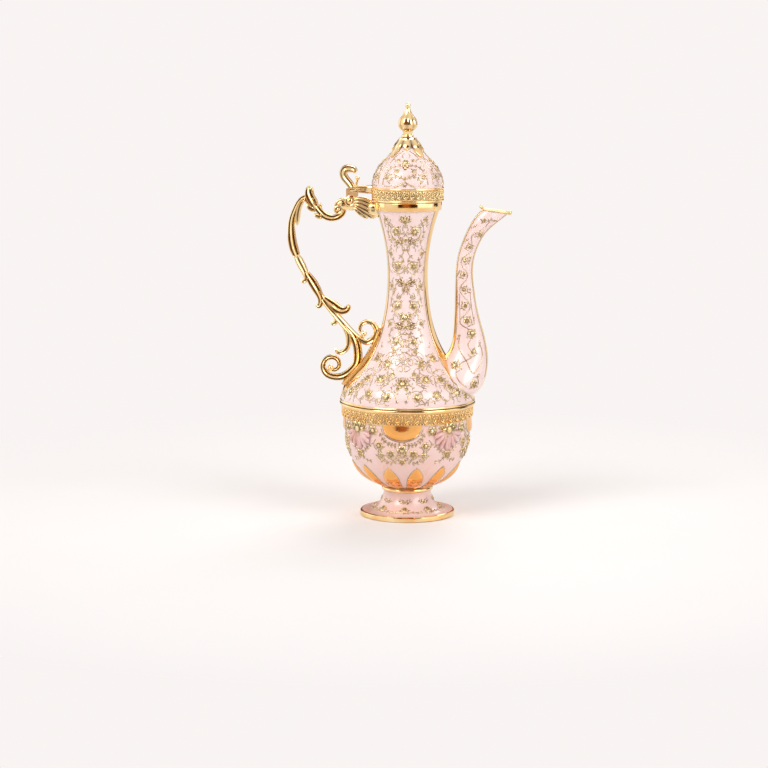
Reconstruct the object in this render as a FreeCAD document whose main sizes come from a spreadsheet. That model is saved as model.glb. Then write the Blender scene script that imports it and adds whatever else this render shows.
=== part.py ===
import FreeCAD, Part
import math
import os
import Sketcher

# Enamelled coffee pot with a hinged lid: +Z up, spout towards +X, handle towards -X, origin in the middle
# of the foot on the surface it stands on. Millimetres.

Vector = FreeCAD.Vector
doc = FreeCAD.newDocument("coffee_pot")

SIZES = (
    ("wall", 1.8, "wall of the castings"),
    ("solder_gap", 0.05, "room left for solder between fixed pieces"),
    ("foot_radius", 31.0, "outer radius of the foot's rim"),
    ("foot_height", 16.5, "height of the foot"),
    ("foot_rim_height", 3.4, "height of the foot's gold rim"),
    ("foot_rim_step", 1.2, "how far the rim stands out from the flare"),
    ("foot_edge", 0.7, "broken edge of the rim"),
    ("stem_radius", 15.5, "radius of the foot where it meets the knop"),
    ("plate_inset", 5.0, "how far the base plate's edge lies inside the foot's rim"),
    ("plate_thickness", 1.6, "thickness of the base plate"),
    ("plate_recess", 0.8, "depth of the base plate inside the rim"),
    ("plate_chamfer", 0.4, "broken edge of the base plate"),
    ("knop_height", 2.6, "height of the knop between foot and bowl"),
    ("knop_overhang", 0.6, "flat of the knop outside the stem"),
    ("bowl_height", 54.9, "height of the lower bowl"),
    ("bowl_base_radius", 14.5, "radius of the bowl's flat underside"),
    ("bowl_side_height", 23.0, "height of the bowl's straight side"),
    ("bowl_taper", 1.9, "how much the straight side draws in"),
    ("bowl_rim_step", 1.3, "how far the bowl's rim lies inside the shoulder"),
    ("spigot_wall", 1.6, "wall of the rim that locates the upper body"),
    ("spigot_rise", 3.0, "how far that rim reaches into the upper body"),
    ("spigot_gap", 0.15, "room between that rim and the upper body"),
    ("band_height", 7.8, "height of the engraved waist band"),
    ("band_thickness", 0.7, "thickness of the waist band"),
    ("band_border", 0.25, "how far the band's plain borders stand out"),
    ("band_border_height", 1.1, "height of each plain border"),
    ("band_drop", 0.6, "how far the band's top lies below the joint of the castings"),
    ("bead_height", 2.4, "height of the waist bead's lower round"),
    ("bead_round", 1.35, "radius of the lower round"),
    ("bead_fillet_height", 1.4, "height of the waist bead's upper round"),
    ("bead_fillet_round", 0.85, "radius of the upper round"),
    ("body_height", 127.0, "height of the upper body, from the joint to the neck's end"),
    ("shoulder_radius", 43.6, "greatest radius of the upper body"),
    ("shoulder_height", 4.3, "height of the straight skirt below the shoulder"),
    ("shoulder_round", 16.0, "radius of the shoulder's curve"),
    ("flare_height", 56.0, "height above the joint where the neck's curve tightens into the skirt"),
    ("neck_height", 84.5, "height of the narrowest place above the joint"),
    ("neck_radius", 13.15, "radius of the narrowest place"),
    ("neck_round", 145.0, "radius of the curve just below the narrowest place"),
    ("neck_top_radius", 20.8, "radius of the neck under the collar"),
    ("collar_height", 5.4, "height of the mouth collar"),
    ("collar_overhang", 1.3, "how far the mouth collar stands outside the neck"),
    ("collar_edge", 0.5, "broken edges of the collar"),
    ("spout_rise", 126.0, "height of the spout's mouth above the joint of the castings"),
    ("spout_wall", 1.5, "wall of the spout"),
    ("spout_passage", 7.0, "radius of the opening from the body into the spout"),
    ("lip_thickness", 1.3, "thickness of the spout's lip"),
    ("lip_overhang", 0.7, "how far the lip stands outside the spout"),
    ("lip_knob", 1.5, "radius of the knobs at the ends of the lip"),
    ("hinge_offset", 14.0, "distance of the hinge pin from the lid's band"),
    ("pin_radius", 1.2, "radius of the hinge pin"),
    ("pin_head_radius", 2.1, "radius of the pin's peened heads"),
    ("pin_head_height", 0.8, "height of each head"),
    ("pin_fit", 0.02, "radial room of the pin in the ears"),
    ("pin_run", 0.06, "radial room of the pin in the knuckle"),
    ("ear_radius", 3.2, "radius of the hinge ears"),
    ("bracket_width", 9.0, "width over both hinge ears"),
    ("knuckle_radius", 2.9, "radius of the lid's knuckle"),
    ("knuckle_width", 4.0, "width of the lid's knuckle"),
    ("knuckle_gap", 0.35, "room at each side of the knuckle"),
    ("knuckle_under", 0.6, "room under the knuckle"),
    ("handle_reach", 40.0, "how far the handle's arch stands out from the hinge pin"),
    ("handle_drop", 106.7, "height from the hinge pin down to the saddle's solder point"),
    ("handle_depth", 1.15, "thickness of the scrolls against their width"),
    ("upper_volute_radius", 8.0, "start radius of the small upper volute"),
    ("lower_volute_radius", 7.6, "start radius of the large lower volute"),
    ("volute_eye", 2.1, "radius of the balls in the volutes"),
    ("saddle_thickness", 1.8, "thickness of the saddle strap"),
    ("saddle_half_width", 6.0, "half width of the saddle strap"),
    ("saddle_top", 50.5, "height of the strap's top above the joint of the castings"),
    ("saddle_bottom", 11.0, "height of the strap's lower end above that joint"),
    ("lid_gap", 0.3, "room between collar and lid"),
    ("lid_band_height", 9.3, "height of the lid's band"),
    ("lid_overhang", 1.3, "how far the lid's band stands outside the collar"),
    ("lid_bead", 0.5, "how far the edge beads stand out"),
    ("lid_bead_height", 1.5, "height of each edge bead"),
    ("plug_depth", 4.2, "how far the lid's inner rim reaches into the mouth"),
    ("plug_rise", 5.0, "how far the inner rim reaches up into the band"),
    ("plug_wall", 1.6, "wall of the inner rim"),
    ("plug_clearance", 0.5, "room between the inner rim and the mouth"),
    ("arm_height", 5.0, "height of the lid's arm"),
    ("arm_rise", 7.9, "height of the arm's middle above the hinge pin"),
    ("curl_rise", 21.9, "height of the thumb curl's top above the hinge pin"),
    ("dome_wall", 1.6, "wall of the dome"),
    ("dome_lip", 1.5, "straight height at the dome's base"),
    ("dome_round", 18.0, "radius of the dome's shoulder"),
    ("dome_height", 28.0, "height of the dome"),
    ("dome_top_radius", 5.5, "radius of the dome's flat top"),
    ("cap_overhang", 4.1, "how far the leaf cap's tips reach down outside the dome's top"),
    ("cap_thickness", 0.7, "thickness of the leaves"),
    ("cap_rise", 3.2, "height of the leaf cap above the dome"),
    ("cap_top_radius", 5.2, "radius of the leaf cap's top"),
    ("leaf_notch", 2.0, "depth of the notches between the leaves"),
    ("ring_height", 2.4, "height of the ring under the finial"),
    ("ring_radius", 4.4, "radius of that ring"),
    ("finial_height", 20.4, "height of the finial"),
    ("finial_radius", 6.4, "greatest radius of the finial"),
    ("finial_foot_radius", 2.9, "radius of the finial's foot"),
    ("finial_neck_radius", 1.5, "radius under the tip knob"),
    ("tip_radius", 2.15, "radius of the tip knob"),
    ("flute_radius", 1.7, "radius of the finial's flutes"),
    ("flute_depth", 0.5, "depth of the flutes"),
    ("screw_radius", 1.5, "radius of the finial's screw"),
    ("screw_gap", 0.05, "radial room of the screw"),
    ("screw_reach", 12.0, "how far the screw reaches into the finial"),
    ("screw_head_radius", 3.2, "radius of the screw's head"),
    ("screw_head_height", 1.8, "height of the screw's head"),
    ("washer_radius", 4.0, "radius of the washer inside the dome"),
    ("washer_thickness", 1.0, "thickness of that washer"),
    ("stone_radius", 1.6, "radius of the large stones"),
    ("small_stone_radius", 0.9, "radius of the small stones"),
    ("stone_height", 30.5, "height of the large stones above the joint of the castings"),
    ("small_stone_height", 7.5, "height of the small stones above that joint"),
)
LEAVES = 8
FLUTES = 10
FULL_TURN = 360.0

sheet = doc.addObject("Spreadsheet::Sheet", "Sizes")
for row, (alias, value, meaning) in enumerate(SIZES, start=1):
    sheet.set(f"A{row}", meaning)
    sheet.set(f"B{row}", str(value))
    sheet.setAlias(f"B{row}", alias)
doc.recompute()


class Size:
    """A length worked out from the sheet: its value now, and the expression that keeps it tied."""

    def __init__(self, value, text):
        self.value = value
        self.text = text

    def join(self, sign, other, value, swap=False):
        texts = [self.text, other.text if isinstance(other, Size) else repr(float(other))]
        if swap:
            texts.reverse()
        return Size(value, f"({texts[0]} {sign} {texts[1]})")

    def __add__(self, other):
        return self.join("+", other, self.value + number(other))

    def __radd__(self, other):
        return self.join("+", other, number(other) + self.value, swap=True)

    def __sub__(self, other):
        return self.join("-", other, self.value - number(other))

    def __rsub__(self, other):
        return self.join("-", other, number(other) - self.value, swap=True)

    def __mul__(self, other):
        return self.join("*", other, self.value * number(other))

    def __rmul__(self, other):
        return self.join("*", other, number(other) * self.value, swap=True)

    def __truediv__(self, other):
        return self.join("/", other, self.value / number(other))

    def root(self):
        return Size(math.sqrt(self.value), f"sqrt({self.text})")


def number(amount):
    """The plain number of a size, or of a number."""
    return amount.value if isinstance(amount, Size) else float(amount)


size = {alias: Size(float(sheet.get(alias)), f"Sizes.{alias}") for alias, _, _ in SIZES}

# Radii that follow from a neighbour's
size["plate_radius"] = size["foot_radius"] - size["plate_inset"]
size["bowl_rim_radius"] = size["shoulder_radius"] - size["bowl_rim_step"]
size["bowl_turn_radius"] = size["bowl_rim_radius"] - size["bowl_taper"]
size["collar_radius"] = size["neck_top_radius"] + size["collar_overhang"]
size["lid_band_radius"] = size["collar_radius"] + size["lid_overhang"]
size["dome_radius"] = size["lid_band_radius"] - size["lid_bead"]
size["cap_radius"] = size["dome_top_radius"] + size["cap_overhang"]
size["hinge_reach"] = size["lid_band_radius"] + size["hinge_offset"]

# Heights of the joints, from the table up
stem_z = size["foot_height"]
bowl_z = stem_z + size["knop_height"]
waist_z = bowl_z + size["bowl_height"]
neck_z = waist_z + size["body_height"]
mouth_z = neck_z + size["collar_height"]
lid_z = mouth_z + size["lid_gap"]
dome_z = lid_z + size["lid_band_height"]
crown_z = dome_z + size["dome_height"]
cap_z = crown_z + size["cap_rise"]
finial_z = cap_z + size["ring_height"]
tip_z = finial_z + size["finial_height"]
mouth_bore = size["neck_top_radius"] - size["wall"]
plug_radius = mouth_bore - size["plug_clearance"]
screw_hole = size["screw_radius"] + size["screw_gap"]

pieces = {}


def arc_middle(start, end, radius, side):
    """Middle of the shorter arc from start to end, its centre left (+1) or right (-1) of the way it runs."""
    chord = end - start
    rise = math.sqrt(max(radius ** 2 - (chord.Length / 2) ** 2, 0.0))
    left = Vector(-chord.y, chord.x, 0).normalize()
    return start + chord * 0.5 - left * (side * (radius - rise))


def new_body(label):
    body = doc.addObject("PartDesign::Body", label)
    body.Label = label
    return body


def new_sketch(body, name, role):
    sketch = body.newObject("Sketcher::SketchObject", name)
    plane = [item for item in body.Origin.OriginFeatures if item.Role == role][0]
    sketch.AttachmentSupport = [(plane, "")]
    sketch.MapMode = "FlatFace"
    return sketch


def tie_point(sketch, edge, end, corner):
    """Tie a drawn point to its two sizes. A plain number other than 0 is left for other ties to settle."""
    for kind, axis, amount in (("DistanceX", -2, corner[0]), ("DistanceY", -1, corner[1])):
        if isinstance(amount, Size):
            tie = sketch.addConstraint(Sketcher.Constraint(kind, -1, 1, edge, end, amount.value))
            sketch.setExpression(f"Constraints[{tie}]", amount.text)
        elif amount == 0:
            sketch.addConstraint(Sketcher.Constraint("PointOnObject", edge, end, axis))


def half_section(body, name, corners, arcs=None, smooth=(), level=()):
    """Draw a closed half-section in the XZ plane, corner by corner (radius, height).

    arcs: edge -> (radius, side), for an edge that is an arc and not a line
    smooth: corners where two edges run into each other without a kink
    level: arc edges whose centre is level with their last corner
    """
    arcs = arcs or {}
    sketch = new_sketch(body, name, "XZ_Plane")
    points = [Vector(number(radius), number(height), 0) for radius, height in corners]
    first = []
    last = []
    for edge, start in enumerate(points):
        end = points[(edge + 1) % len(points)]
        radius, side = arcs.get(edge, (0.0, 1))
        if edge in arcs:
            middle = arc_middle(start, end, number(radius), side)
            sketch.addGeometry(Part.Arc(start, middle, end) if side > 0 else Part.Arc(end, middle, start))
        else:
            sketch.addGeometry(Part.LineSegment(start, end))
        first.append(1 if side > 0 else 2)
        last.append(2 if side > 0 else 1)
    for edge, corner in enumerate(corners):
        kind = "Tangent" if edge in smooth else "Coincident"
        sketch.addConstraint(Sketcher.Constraint(kind, edge - 1 if edge else len(corners) - 1,
                                                 last[edge - 1], edge, first[edge]))
        tie_point(sketch, edge, first[edge], corner)
    for edge, (radius, _) in arcs.items():
        if isinstance(radius, Size):
            tie = sketch.addConstraint(Sketcher.Constraint("Radius", edge, radius.value))
            sketch.setExpression(f"Constraints[{tie}]", radius.text)
    for edge in level:
        sketch.addConstraint(Sketcher.Constraint("Horizontal", edge, 3, edge, last[edge]))
    return sketch


def turned(body, name, sketch):
    turn = body.newObject("PartDesign::Revolution", name)
    turn.Profile = sketch
    turn.ReferenceAxis = (sketch, ["V_Axis"])
    turn.Angle = FULL_TURN
    doc.recompute()
    return turn


def turned_piece(label, corners, **drawing):
    """A body turned from one half-section."""
    body = new_body(label)
    turned(body, f"{label}_turn", half_section(body, f"{label}_section", corners, **drawing))
    pieces[label] = body
    return body


def hollowed(body, name, solid, thickness, heights):
    """Hollow a turned solid inwards, open at the flat faces at these heights."""
    shell = body.newObject("PartDesign::Thickness", name)
    openings = [f"Face{index}" for index, face in enumerate(solid.Shape.Faces, start=1)
                if isinstance(face.Surface, Part.Plane)
                and any(abs(face.CenterOfMass.z - number(height)) < 0.01 for height in heights)]
    shell.Base = (solid, openings)
    shell.Reversed = True
    shell.setExpression("Value", thickness.text)
    doc.recompute()
    if shell.Shape.Volume >= solid.Shape.Volume:
        raise RuntimeError(f"{name} did not hollow inwards")
    return shell


def place(item, x=None, y=None, z=None, rotation=None):
    """Put an object where its sizes say, turned as given."""
    item.Placement = FreeCAD.Placement(Vector(0, 0, 0), rotation or FreeCAD.Rotation())
    for axis, amount in (("x", x), ("y", y), ("z", z)):
        if isinstance(amount, Size):
            item.setExpression(f"Placement.Base.{axis}", amount.text)


def primitive(kind, name, **sizes):
    item = doc.addObject(f"Part::{kind}", name)
    for prop, amount in sizes.items():
        item.setExpression(prop, amount.text)
    return item


def cross_cylinder(name, radius, width, x, z):
    """A cylinder along Y, centred on the XZ plane."""
    item = primitive("Cylinder", name, Radius=radius, Height=width)
    place(item, x=x, y=0 - width / 2, z=z, rotation=FreeCAD.Rotation(Vector(1, 0, 0), -90))
    return item


def fused(name, items):
    item = doc.addObject("Part::MultiFuse", name)
    item.Shapes = items
    return item


def cut(name, base, tool):
    item = doc.addObject("Part::Cut", name)
    item.Base = base
    item.Tool = tool
    return item


def shaped(name, shape):
    item = doc.addObject("Part::Feature", name)
    item.Shape = shape
    return item


def oval(centre, across, half_width, half_depth, squareness=2.0):
    """A closed oval section: half_width along across, half_depth along Y, squarer as squareness grows."""
    points = []
    for step in range(12):
        turn = 2 * math.pi * step / 12
        reach = math.copysign(abs(math.cos(turn)) ** (2 / squareness), math.cos(turn))
        depth = math.copysign(abs(math.sin(turn)) ** (2 / squareness), math.sin(turn))
        points.append(centre + across * (half_width * reach) + Vector(0, half_depth * depth, 0))
    outline = Part.BSplineCurve()
    outline.interpolate(Points=points, PeriodicFlag=True)
    return Part.Wire(outline.toShape())


def along(values, share):
    """Value at a share of the way along evenly spaced values."""
    place_along = share * (len(values) - 1)
    index = min(int(place_along), len(values) - 2)
    return values[index] + (values[index + 1] - values[index]) * (place_along - index)


def stroke(points, widths, depths, squareness=2.0, stations_per_span=2):
    """A tapering scroll through points in the XZ plane, with its width in that plane and its depth along Y."""
    path = Part.BSplineCurve()
    path.interpolate(points)
    count = stations_per_span * (len(points) - 1)
    length = path.length()
    sections = []
    for station in range(count + 1):
        share = station / count
        parameter = path.parameterAtDistance(length * share, path.FirstParameter)
        heading = path.tangent(parameter)[0]
        across = Vector(heading.z, 0, -heading.x)
        sections.append(oval(path.value(parameter), across, along(widths, share) / 2,
                             along(depths, share) / 2, squareness))
    return Part.makeLoft(sections, True, False)


# Foot, knop and bowl
def make_foot():
    """Trumpet foot, hollow underneath, with a ledge for the base plate."""
    flare_radius = size["foot_radius"] - size["foot_rim_step"]
    run = flare_radius - size["stem_radius"]
    drop = stem_z - size["foot_rim_height"]
    flare = (run * run + drop * drop) / (2 * run)
    centre = size["stem_radius"] + flare
    inner = flare + size["wall"]
    ledge = size["plate_recess"] + size["plate_thickness"]
    roof = stem_z - size["wall"]

    def inside(height):
        fall = stem_z - height
        return centre - (inner * inner - fall * fall).root()

    seat = size["plate_radius"] + size["solder_gap"]
    edge = size["foot_edge"]
    corners = [
        (0, stem_z),
        (size["stem_radius"], stem_z),
        (flare_radius, size["foot_rim_height"]),
        (size["foot_radius"], size["foot_rim_height"] - edge),
        (size["foot_radius"], edge),
        (size["foot_radius"] - edge, 0),
        (seat, 0),
        (seat, ledge),
        (inside(ledge), ledge),
        (inside(roof), roof),
        (0, roof),
    ]
    turned_piece("foot", corners, arcs={1: (flare, 1), 8: (inner, -1)})


def make_base_plate():
    body = new_body("base_plate")
    sketch = new_sketch(body, "base_plate_outline", "XY_Plane")
    circle = sketch.addGeometry(Part.Circle(Vector(0, 0, 0), Vector(0, 0, 1), size["plate_radius"].value))
    sketch.addConstraint(Sketcher.Constraint("Coincident", circle, 3, -1, 1))
    tie = sketch.addConstraint(Sketcher.Constraint("Radius", circle, size["plate_radius"].value))
    sketch.setExpression(f"Constraints[{tie}]", size["plate_radius"].text)
    pad = body.newObject("PartDesign::Pad", "base_plate_pad")
    pad.Profile = sketch
    pad.setExpression("Length", size["plate_thickness"].text)
    doc.recompute()
    chamfer = body.newObject("PartDesign::Chamfer", "base_plate_edge")
    rims = [f"Edge{index}" for index, edge in enumerate(pad.Shape.Edges, start=1)
            if isinstance(edge.Curve, Part.Circle) and abs(edge.CenterOfMass.z) < 0.01]
    chamfer.Base = (pad, rims)
    chamfer.setExpression("Size", size["plate_chamfer"].text)
    place(body, z=size["plate_recess"])
    pieces["base_plate"] = body


def make_stem_knop():
    flat = size["stem_radius"] + size["knop_overhang"]
    corners = [(0, stem_z), (flat, stem_z), (flat, bowl_z), (0, bowl_z)]
    turned_piece("stem_knop", corners, arcs={1: (size["knop_height"] * 0.55, 1)})


def bowl_side(height):
    """Outer radius of the bowl's straight side at a height."""
    slope = size["bowl_taper"] / size["bowl_side_height"]
    return size["bowl_rim_radius"] - slope * (waist_z - height)


def make_lower_bowl():
    """Round-bottomed bowl with a rim inside that locates the upper body."""
    turn_z = waist_z - size["bowl_side_height"]
    base = Vector(size["bowl_base_radius"].value, bowl_z.value, 0)
    turn = Vector(size["bowl_turn_radius"].value, turn_z.value, 0)
    rim = Vector(size["bowl_rim_radius"].value, waist_z.value, 0)
    chord = turn - base
    round_radius = chord.Length / (2 * math.sin(chord.getAngle(rim - turn)))
    body = new_body("lower_bowl")
    corners = [
        (0, bowl_z),
        (size["bowl_base_radius"], bowl_z),
        (size["bowl_turn_radius"], turn_z),
        (size["bowl_rim_radius"], waist_z),
        (0, waist_z),
    ]
    section = half_section(body, "bowl_section", corners, arcs={1: (round_radius, 1)}, smooth=(2,))
    solid = turned(body, "bowl_turn", section)
    hollowed(body, "bowl_hollow", solid, size["wall"], [waist_z])
    outer = size["shoulder_radius"] - size["wall"] - size["spigot_gap"]
    inner = outer - size["spigot_wall"]
    low = waist_z - size["spigot_rise"]
    high = waist_z + size["spigot_rise"]
    spigot = [(inner, low), (outer, low), (outer, high), (inner, high)]
    turned(body, "spigot_turn", half_section(body, "spigot_section", spigot))
    pieces["lower_bowl"] = body


def make_waist_band():
    """Band with two plain borders, following the taper of the bowl's side."""
    top = waist_z - size["band_drop"]
    bottom = top - size["band_height"]
    border = size["band_border_height"]

    def skin(height, stand):
        return bowl_side(height) + size["solder_gap"] + stand

    face = size["band_thickness"]
    proud = face + size["band_border"]
    corners = [
        (skin(bottom, 0), bottom),
        (skin(bottom, proud), bottom),
        (skin(bottom + border, proud), bottom + border),
        (skin(bottom + border, face), bottom + border),
        (skin(top - border, face), top - border),
        (skin(top - border, proud), top - border),
        (skin(top, proud), top),
        (skin(top, 0), top),
    ]
    turned_piece("waist_band", corners)


def make_waist_bead():
    """Two rounds of unlike size over the joint of the castings."""
    inner = size["shoulder_radius"] + size["solder_gap"]
    outer = inner + size["band_border"]
    low = waist_z - size["band_drop"]
    middle = low + size["bead_height"]
    high = middle + size["bead_fillet_height"]
    corners = [(inner, low), (outer, low), (outer, middle), (outer, high), (inner, high)]
    turned_piece("waist_bead", corners,
                 arcs={1: (size["bead_round"], 1), 2: (size["bead_fillet_round"], 1)})


# Upper body: four arcs that run into each other from the shoulder to the neck's end
class BodyCurve:
    """The upper body's outside, with the centres and radii of its arcs."""

    def __init__(self):
        shoulder_z = waist_z + size["shoulder_height"]
        narrow_z = waist_z + size["neck_height"]
        tight_z = waist_z + size["flare_height"]
        neck_round = size["neck_round"].value
        shoulder_round = size["shoulder_round"].value
        narrow = Vector(size["neck_radius"].value, narrow_z.value, 0)
        top = Vector(size["neck_top_radius"].value, neck_z.value, 0)
        run = top.x - narrow.x
        rise = top.y - narrow.y
        top_round = (run ** 2 + rise ** 2) / (2 * run)
        self.neck_centre = narrow + Vector(neck_round, 0, 0)
        self.top_centre = narrow + Vector(top_round, 0, 0)
        fall = narrow.y - tight_z.value
        tight = Vector(self.neck_centre.x - math.sqrt(neck_round ** 2 - fall ** 2), tight_z.value, 0)
        inwards = (self.neck_centre - tight).normalize()
        shoulder = Vector(size["shoulder_radius"].value, shoulder_z.value, 0)
        self.shoulder_centre = shoulder - Vector(shoulder_round, 0, 0)
        gap = tight - self.shoulder_centre
        skirt_round = (gap.Length ** 2 - shoulder_round ** 2) / (2 * (shoulder_round - gap.dot(inwards)))
        self.skirt_centre = tight + inwards * skirt_round
        between = (self.skirt_centre - self.shoulder_centre).normalize()
        meet = self.shoulder_centre + between * shoulder_round
        self.points = [Vector(shoulder.x, waist_z.value, 0), shoulder, meet, tight, narrow, top]
        self.radii = {1: shoulder_round, 2: skirt_round, 3: neck_round, 4: top_round}
        self.sides = {1: 1, 2: -1, 3: -1, 4: -1}
        self.sizes = (shoulder_z, tight_z, narrow_z)

    def radius(self, height):
        """Outer radius at a height."""
        points = self.points
        if height <= points[1].y:
            return points[1].x
        if height <= points[2].y:
            centre, radius, sign = self.shoulder_centre, self.radii[1], 1
        elif height <= points[3].y:
            centre, radius, sign = self.skirt_centre, self.radii[2], -1
        elif height <= points[4].y:
            centre, radius, sign = self.neck_centre, self.radii[3], -1
        else:
            centre, radius, sign = self.top_centre, self.radii[4], -1
        return centre.x + sign * math.sqrt(radius ** 2 - (height - centre.y) ** 2)

    def outwards(self, height):
        """Unit normal of the outside at a height, in the half-section."""
        step = 0.05
        slope = (self.radius(height + step) - self.radius(height - step)) / (2 * step)
        return Vector(1, -slope, 0).normalize()

    def solid(self, stand):
        """The whole body as a solid, grown by stand all over its side."""
        centres = {1: self.shoulder_centre, 2: self.skirt_centre, 3: self.neck_centre, 4: self.top_centre}
        grown = []
        for index, point in enumerate(self.points):
            edge = min(max(index, 1), 4)
            side = self.sides[edge]
            normal = (point - centres[edge]).normalize() * side if index else Vector(1, 0, 0)
            grown.append(point + normal * stand)
        edges = [Part.LineSegment(Vector(0, grown[0].y, 0), grown[0]), Part.LineSegment(grown[0], grown[1])]
        for edge, side in self.sides.items():
            radius = self.radii[edge] + side * stand
            start, end = grown[edge], grown[edge + 1]
            edges.append(Part.Arc(start, arc_middle(start, end, radius, side), end))
        top = Vector(0, grown[-1].y, 0)
        edges += [Part.LineSegment(grown[-1], top), Part.LineSegment(top, Vector(0, grown[0].y, 0))]
        outline = Part.Wire([edge.toShape() for edge in edges])
        upright = FreeCAD.Rotation(Vector(1, 0, 0), 90)
        outline.Placement = FreeCAD.Placement(Vector(0, 0, 0), upright)
        return Part.Face(outline).revolve(Vector(0, 0, 0), Vector(0, 0, 1), FULL_TURN)


curve = BodyCurve()


def upper_section(body, name, inset):
    """Half-section of the upper body, its side moved inwards by inset (0 for the outside)."""
    shoulder_z, tight_z, narrow_z = curve.sizes
    meet, tight = curve.points[2], curve.points[3]
    corners = [
        (0, waist_z),
        (size["shoulder_radius"] - inset, waist_z),
        (size["shoulder_radius"] - inset, shoulder_z),
        (meet.x - number(inset), meet.y),
        (tight.x - number(inset), tight_z),
        (size["neck_radius"] - inset, narrow_z),
        (size["neck_top_radius"] - inset, neck_z),
        (0, neck_z),
    ]
    arcs = {
        2: (size["shoulder_round"] - inset, 1),
        3: (curve.radii[2] + number(inset), -1),
        4: (size["neck_round"] + inset, -1),
        5: (curve.radii[4] + number(inset), -1),
    }
    return half_section(body, name, corners, arcs=arcs, smooth=(2, 3, 4, 5), level=(4,))


def make_upper_body(passage):
    body = new_body("upper_casting")
    turned(body, "upper_turn", upper_section(body, "upper_outside", 0.0))
    hollow = body.newObject("PartDesign::Groove", "upper_hollow")
    hollow.Profile = upper_section(body, "upper_inside", size["wall"])
    hollow.ReferenceAxis = (hollow.Profile[0], ["V_Axis"])
    hollow.Angle = FULL_TURN
    doc.recompute()
    pieces["upper_body"] = cut("upper_body", body, passage)


def make_neck_collar():
    edge = size["collar_edge"]
    corners = [
        (mouth_bore, neck_z),
        (size["collar_radius"] - edge, neck_z),
        (size["collar_radius"], neck_z + edge),
        (size["collar_radius"], mouth_z - edge),
        (size["collar_radius"] - edge, mouth_z),
        (mouth_bore, mouth_z),
    ]
    turned_piece("neck_collar", corners)


# Spout: stations from inside the body to the mouth. Each has its distance outside the shoulder, its share
# of the rise, the tilt of its section in degrees, and its half width and half depth.
SPOUT_STATIONS = (
    (-18.0, 0.076, -24.0, 14.5, 19.0),
    (-10.0, 0.119, -22.0, 14.9, 19.5),
    (-6.0, 0.195, -17.0, 15.0, 14.5),
    (-3.7, 0.284, 0.0, 12.4, 9.8),
    (-4.6, 0.438, 0.0, 8.5, 6.8),
    (-6.4, 0.614, 0.0, 6.2, 5.4),
    (-6.2, 0.734, -4.0, 5.5, 4.9),
    (-3.0, 0.829, -23.0, 5.4, 4.7),
    (4.0, 0.930, -24.0, 6.2, 4.7),
    (13.2, 1.000, -7.5, 8.7, 4.9),
)


def spout_section(out, share, tilt, half_width, half_depth, shift=0.0):
    centre = Vector(size["shoulder_radius"].value + out, 0, waist_z.value + size["spout_rise"].value * share)
    lean = math.radians(tilt)
    across = Vector(math.cos(lean), 0, math.sin(lean))
    normal = Vector(-math.sin(lean), 0, math.cos(lean))
    return oval(centre + normal * shift, across, half_width, half_depth)


def make_spout_passage():
    """The hollow of the spout, from the inside of the body out past the mouth."""
    wall = size["spout_wall"].value
    opening = size["spout_passage"].value
    inside = size["wall"].value
    root = SPOUT_STATIONS[1]
    belly = SPOUT_STATIONS[2]
    sections = [
        spout_section(root[0] - 3 * opening + inside, root[1], -70.0, opening, opening),
        spout_section(root[0], root[1] + opening / (4 * size["spout_rise"].value), -60.0, opening, opening),
        spout_section(belly[0], belly[1], -30.0, opening + wall, opening + wall / 2),
    ]
    for out, share, tilt, half_width, half_depth in SPOUT_STATIONS[3:]:
        sections.append(spout_section(out, share, tilt, half_width - wall, half_depth - wall))
    out, share, tilt, half_width, half_depth = SPOUT_STATIONS[-1]
    sections.append(spout_section(out, share, tilt, half_width - wall, half_depth - wall,
                                  shift=2 * size["lip_thickness"].value))
    return shaped("spout_hollow", Part.makeLoft(sections, True, False))


def make_spout(passage):
    outside = shaped("spout_outside", Part.makeLoft([spout_section(*station) for station in SPOUT_STATIONS],
                                                    True, False))
    casting = cut("spout_casting", outside, shaped("body_solid", curve.solid(0.0)))
    pieces["spout"] = cut("spout", casting, passage)


def make_spout_lip():
    """Rolled rim on the mouth, with a knob at each end."""
    out, share, tilt, half_width, half_depth = SPOUT_STATIONS[-1]
    wall = size["spout_wall"].value
    over = size["lip_overhang"].value
    thickness = size["lip_thickness"].value
    knob = size["lip_knob"].value
    lean = math.radians(tilt)
    normal = Vector(-math.sin(lean), 0, math.cos(lean))
    across = Vector(math.cos(lean), 0, math.sin(lean))
    centre = Vector(size["shoulder_radius"].value + out, 0, waist_z.value + size["spout_rise"].value * share)
    outer = spout_section(out, share, tilt, half_width + over, half_depth + over)
    inner = spout_section(out, share, tilt, half_width - wall, half_depth - wall)
    rim = Part.Face(outer).extrude(normal * thickness)
    rim = rim.cut(Part.Face(inner).extrude(normal * thickness))
    middle = centre + normal * (thickness / 2)
    reach = across * (half_width + over)
    inner_knob = Part.makeSphere(knob * 0.8, middle - reach + normal * thickness)
    outer_knob = Part.makeSphere(knob, middle + reach)
    rim = rim.multiFuse([inner_knob, outer_knob])
    bore = Part.Face(inner).extrude(normal * (4 * knob))
    bore.translate(normal * (-2 * knob))
    below = Part.Face(outer).extrude(normal * (-4 * knob))
    pieces["spout_lip"] = shaped("spout_lip", rim.cut(bore).cut(below))


# Hinge
hinge_x = 0 - size["hinge_reach"]
hinge_z = mouth_z


def from_hinge(left, down):
    """A point in the XZ plane, from the hinge pin."""
    return Vector(hinge_x.value - left, 0, hinge_z.value - down)


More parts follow.
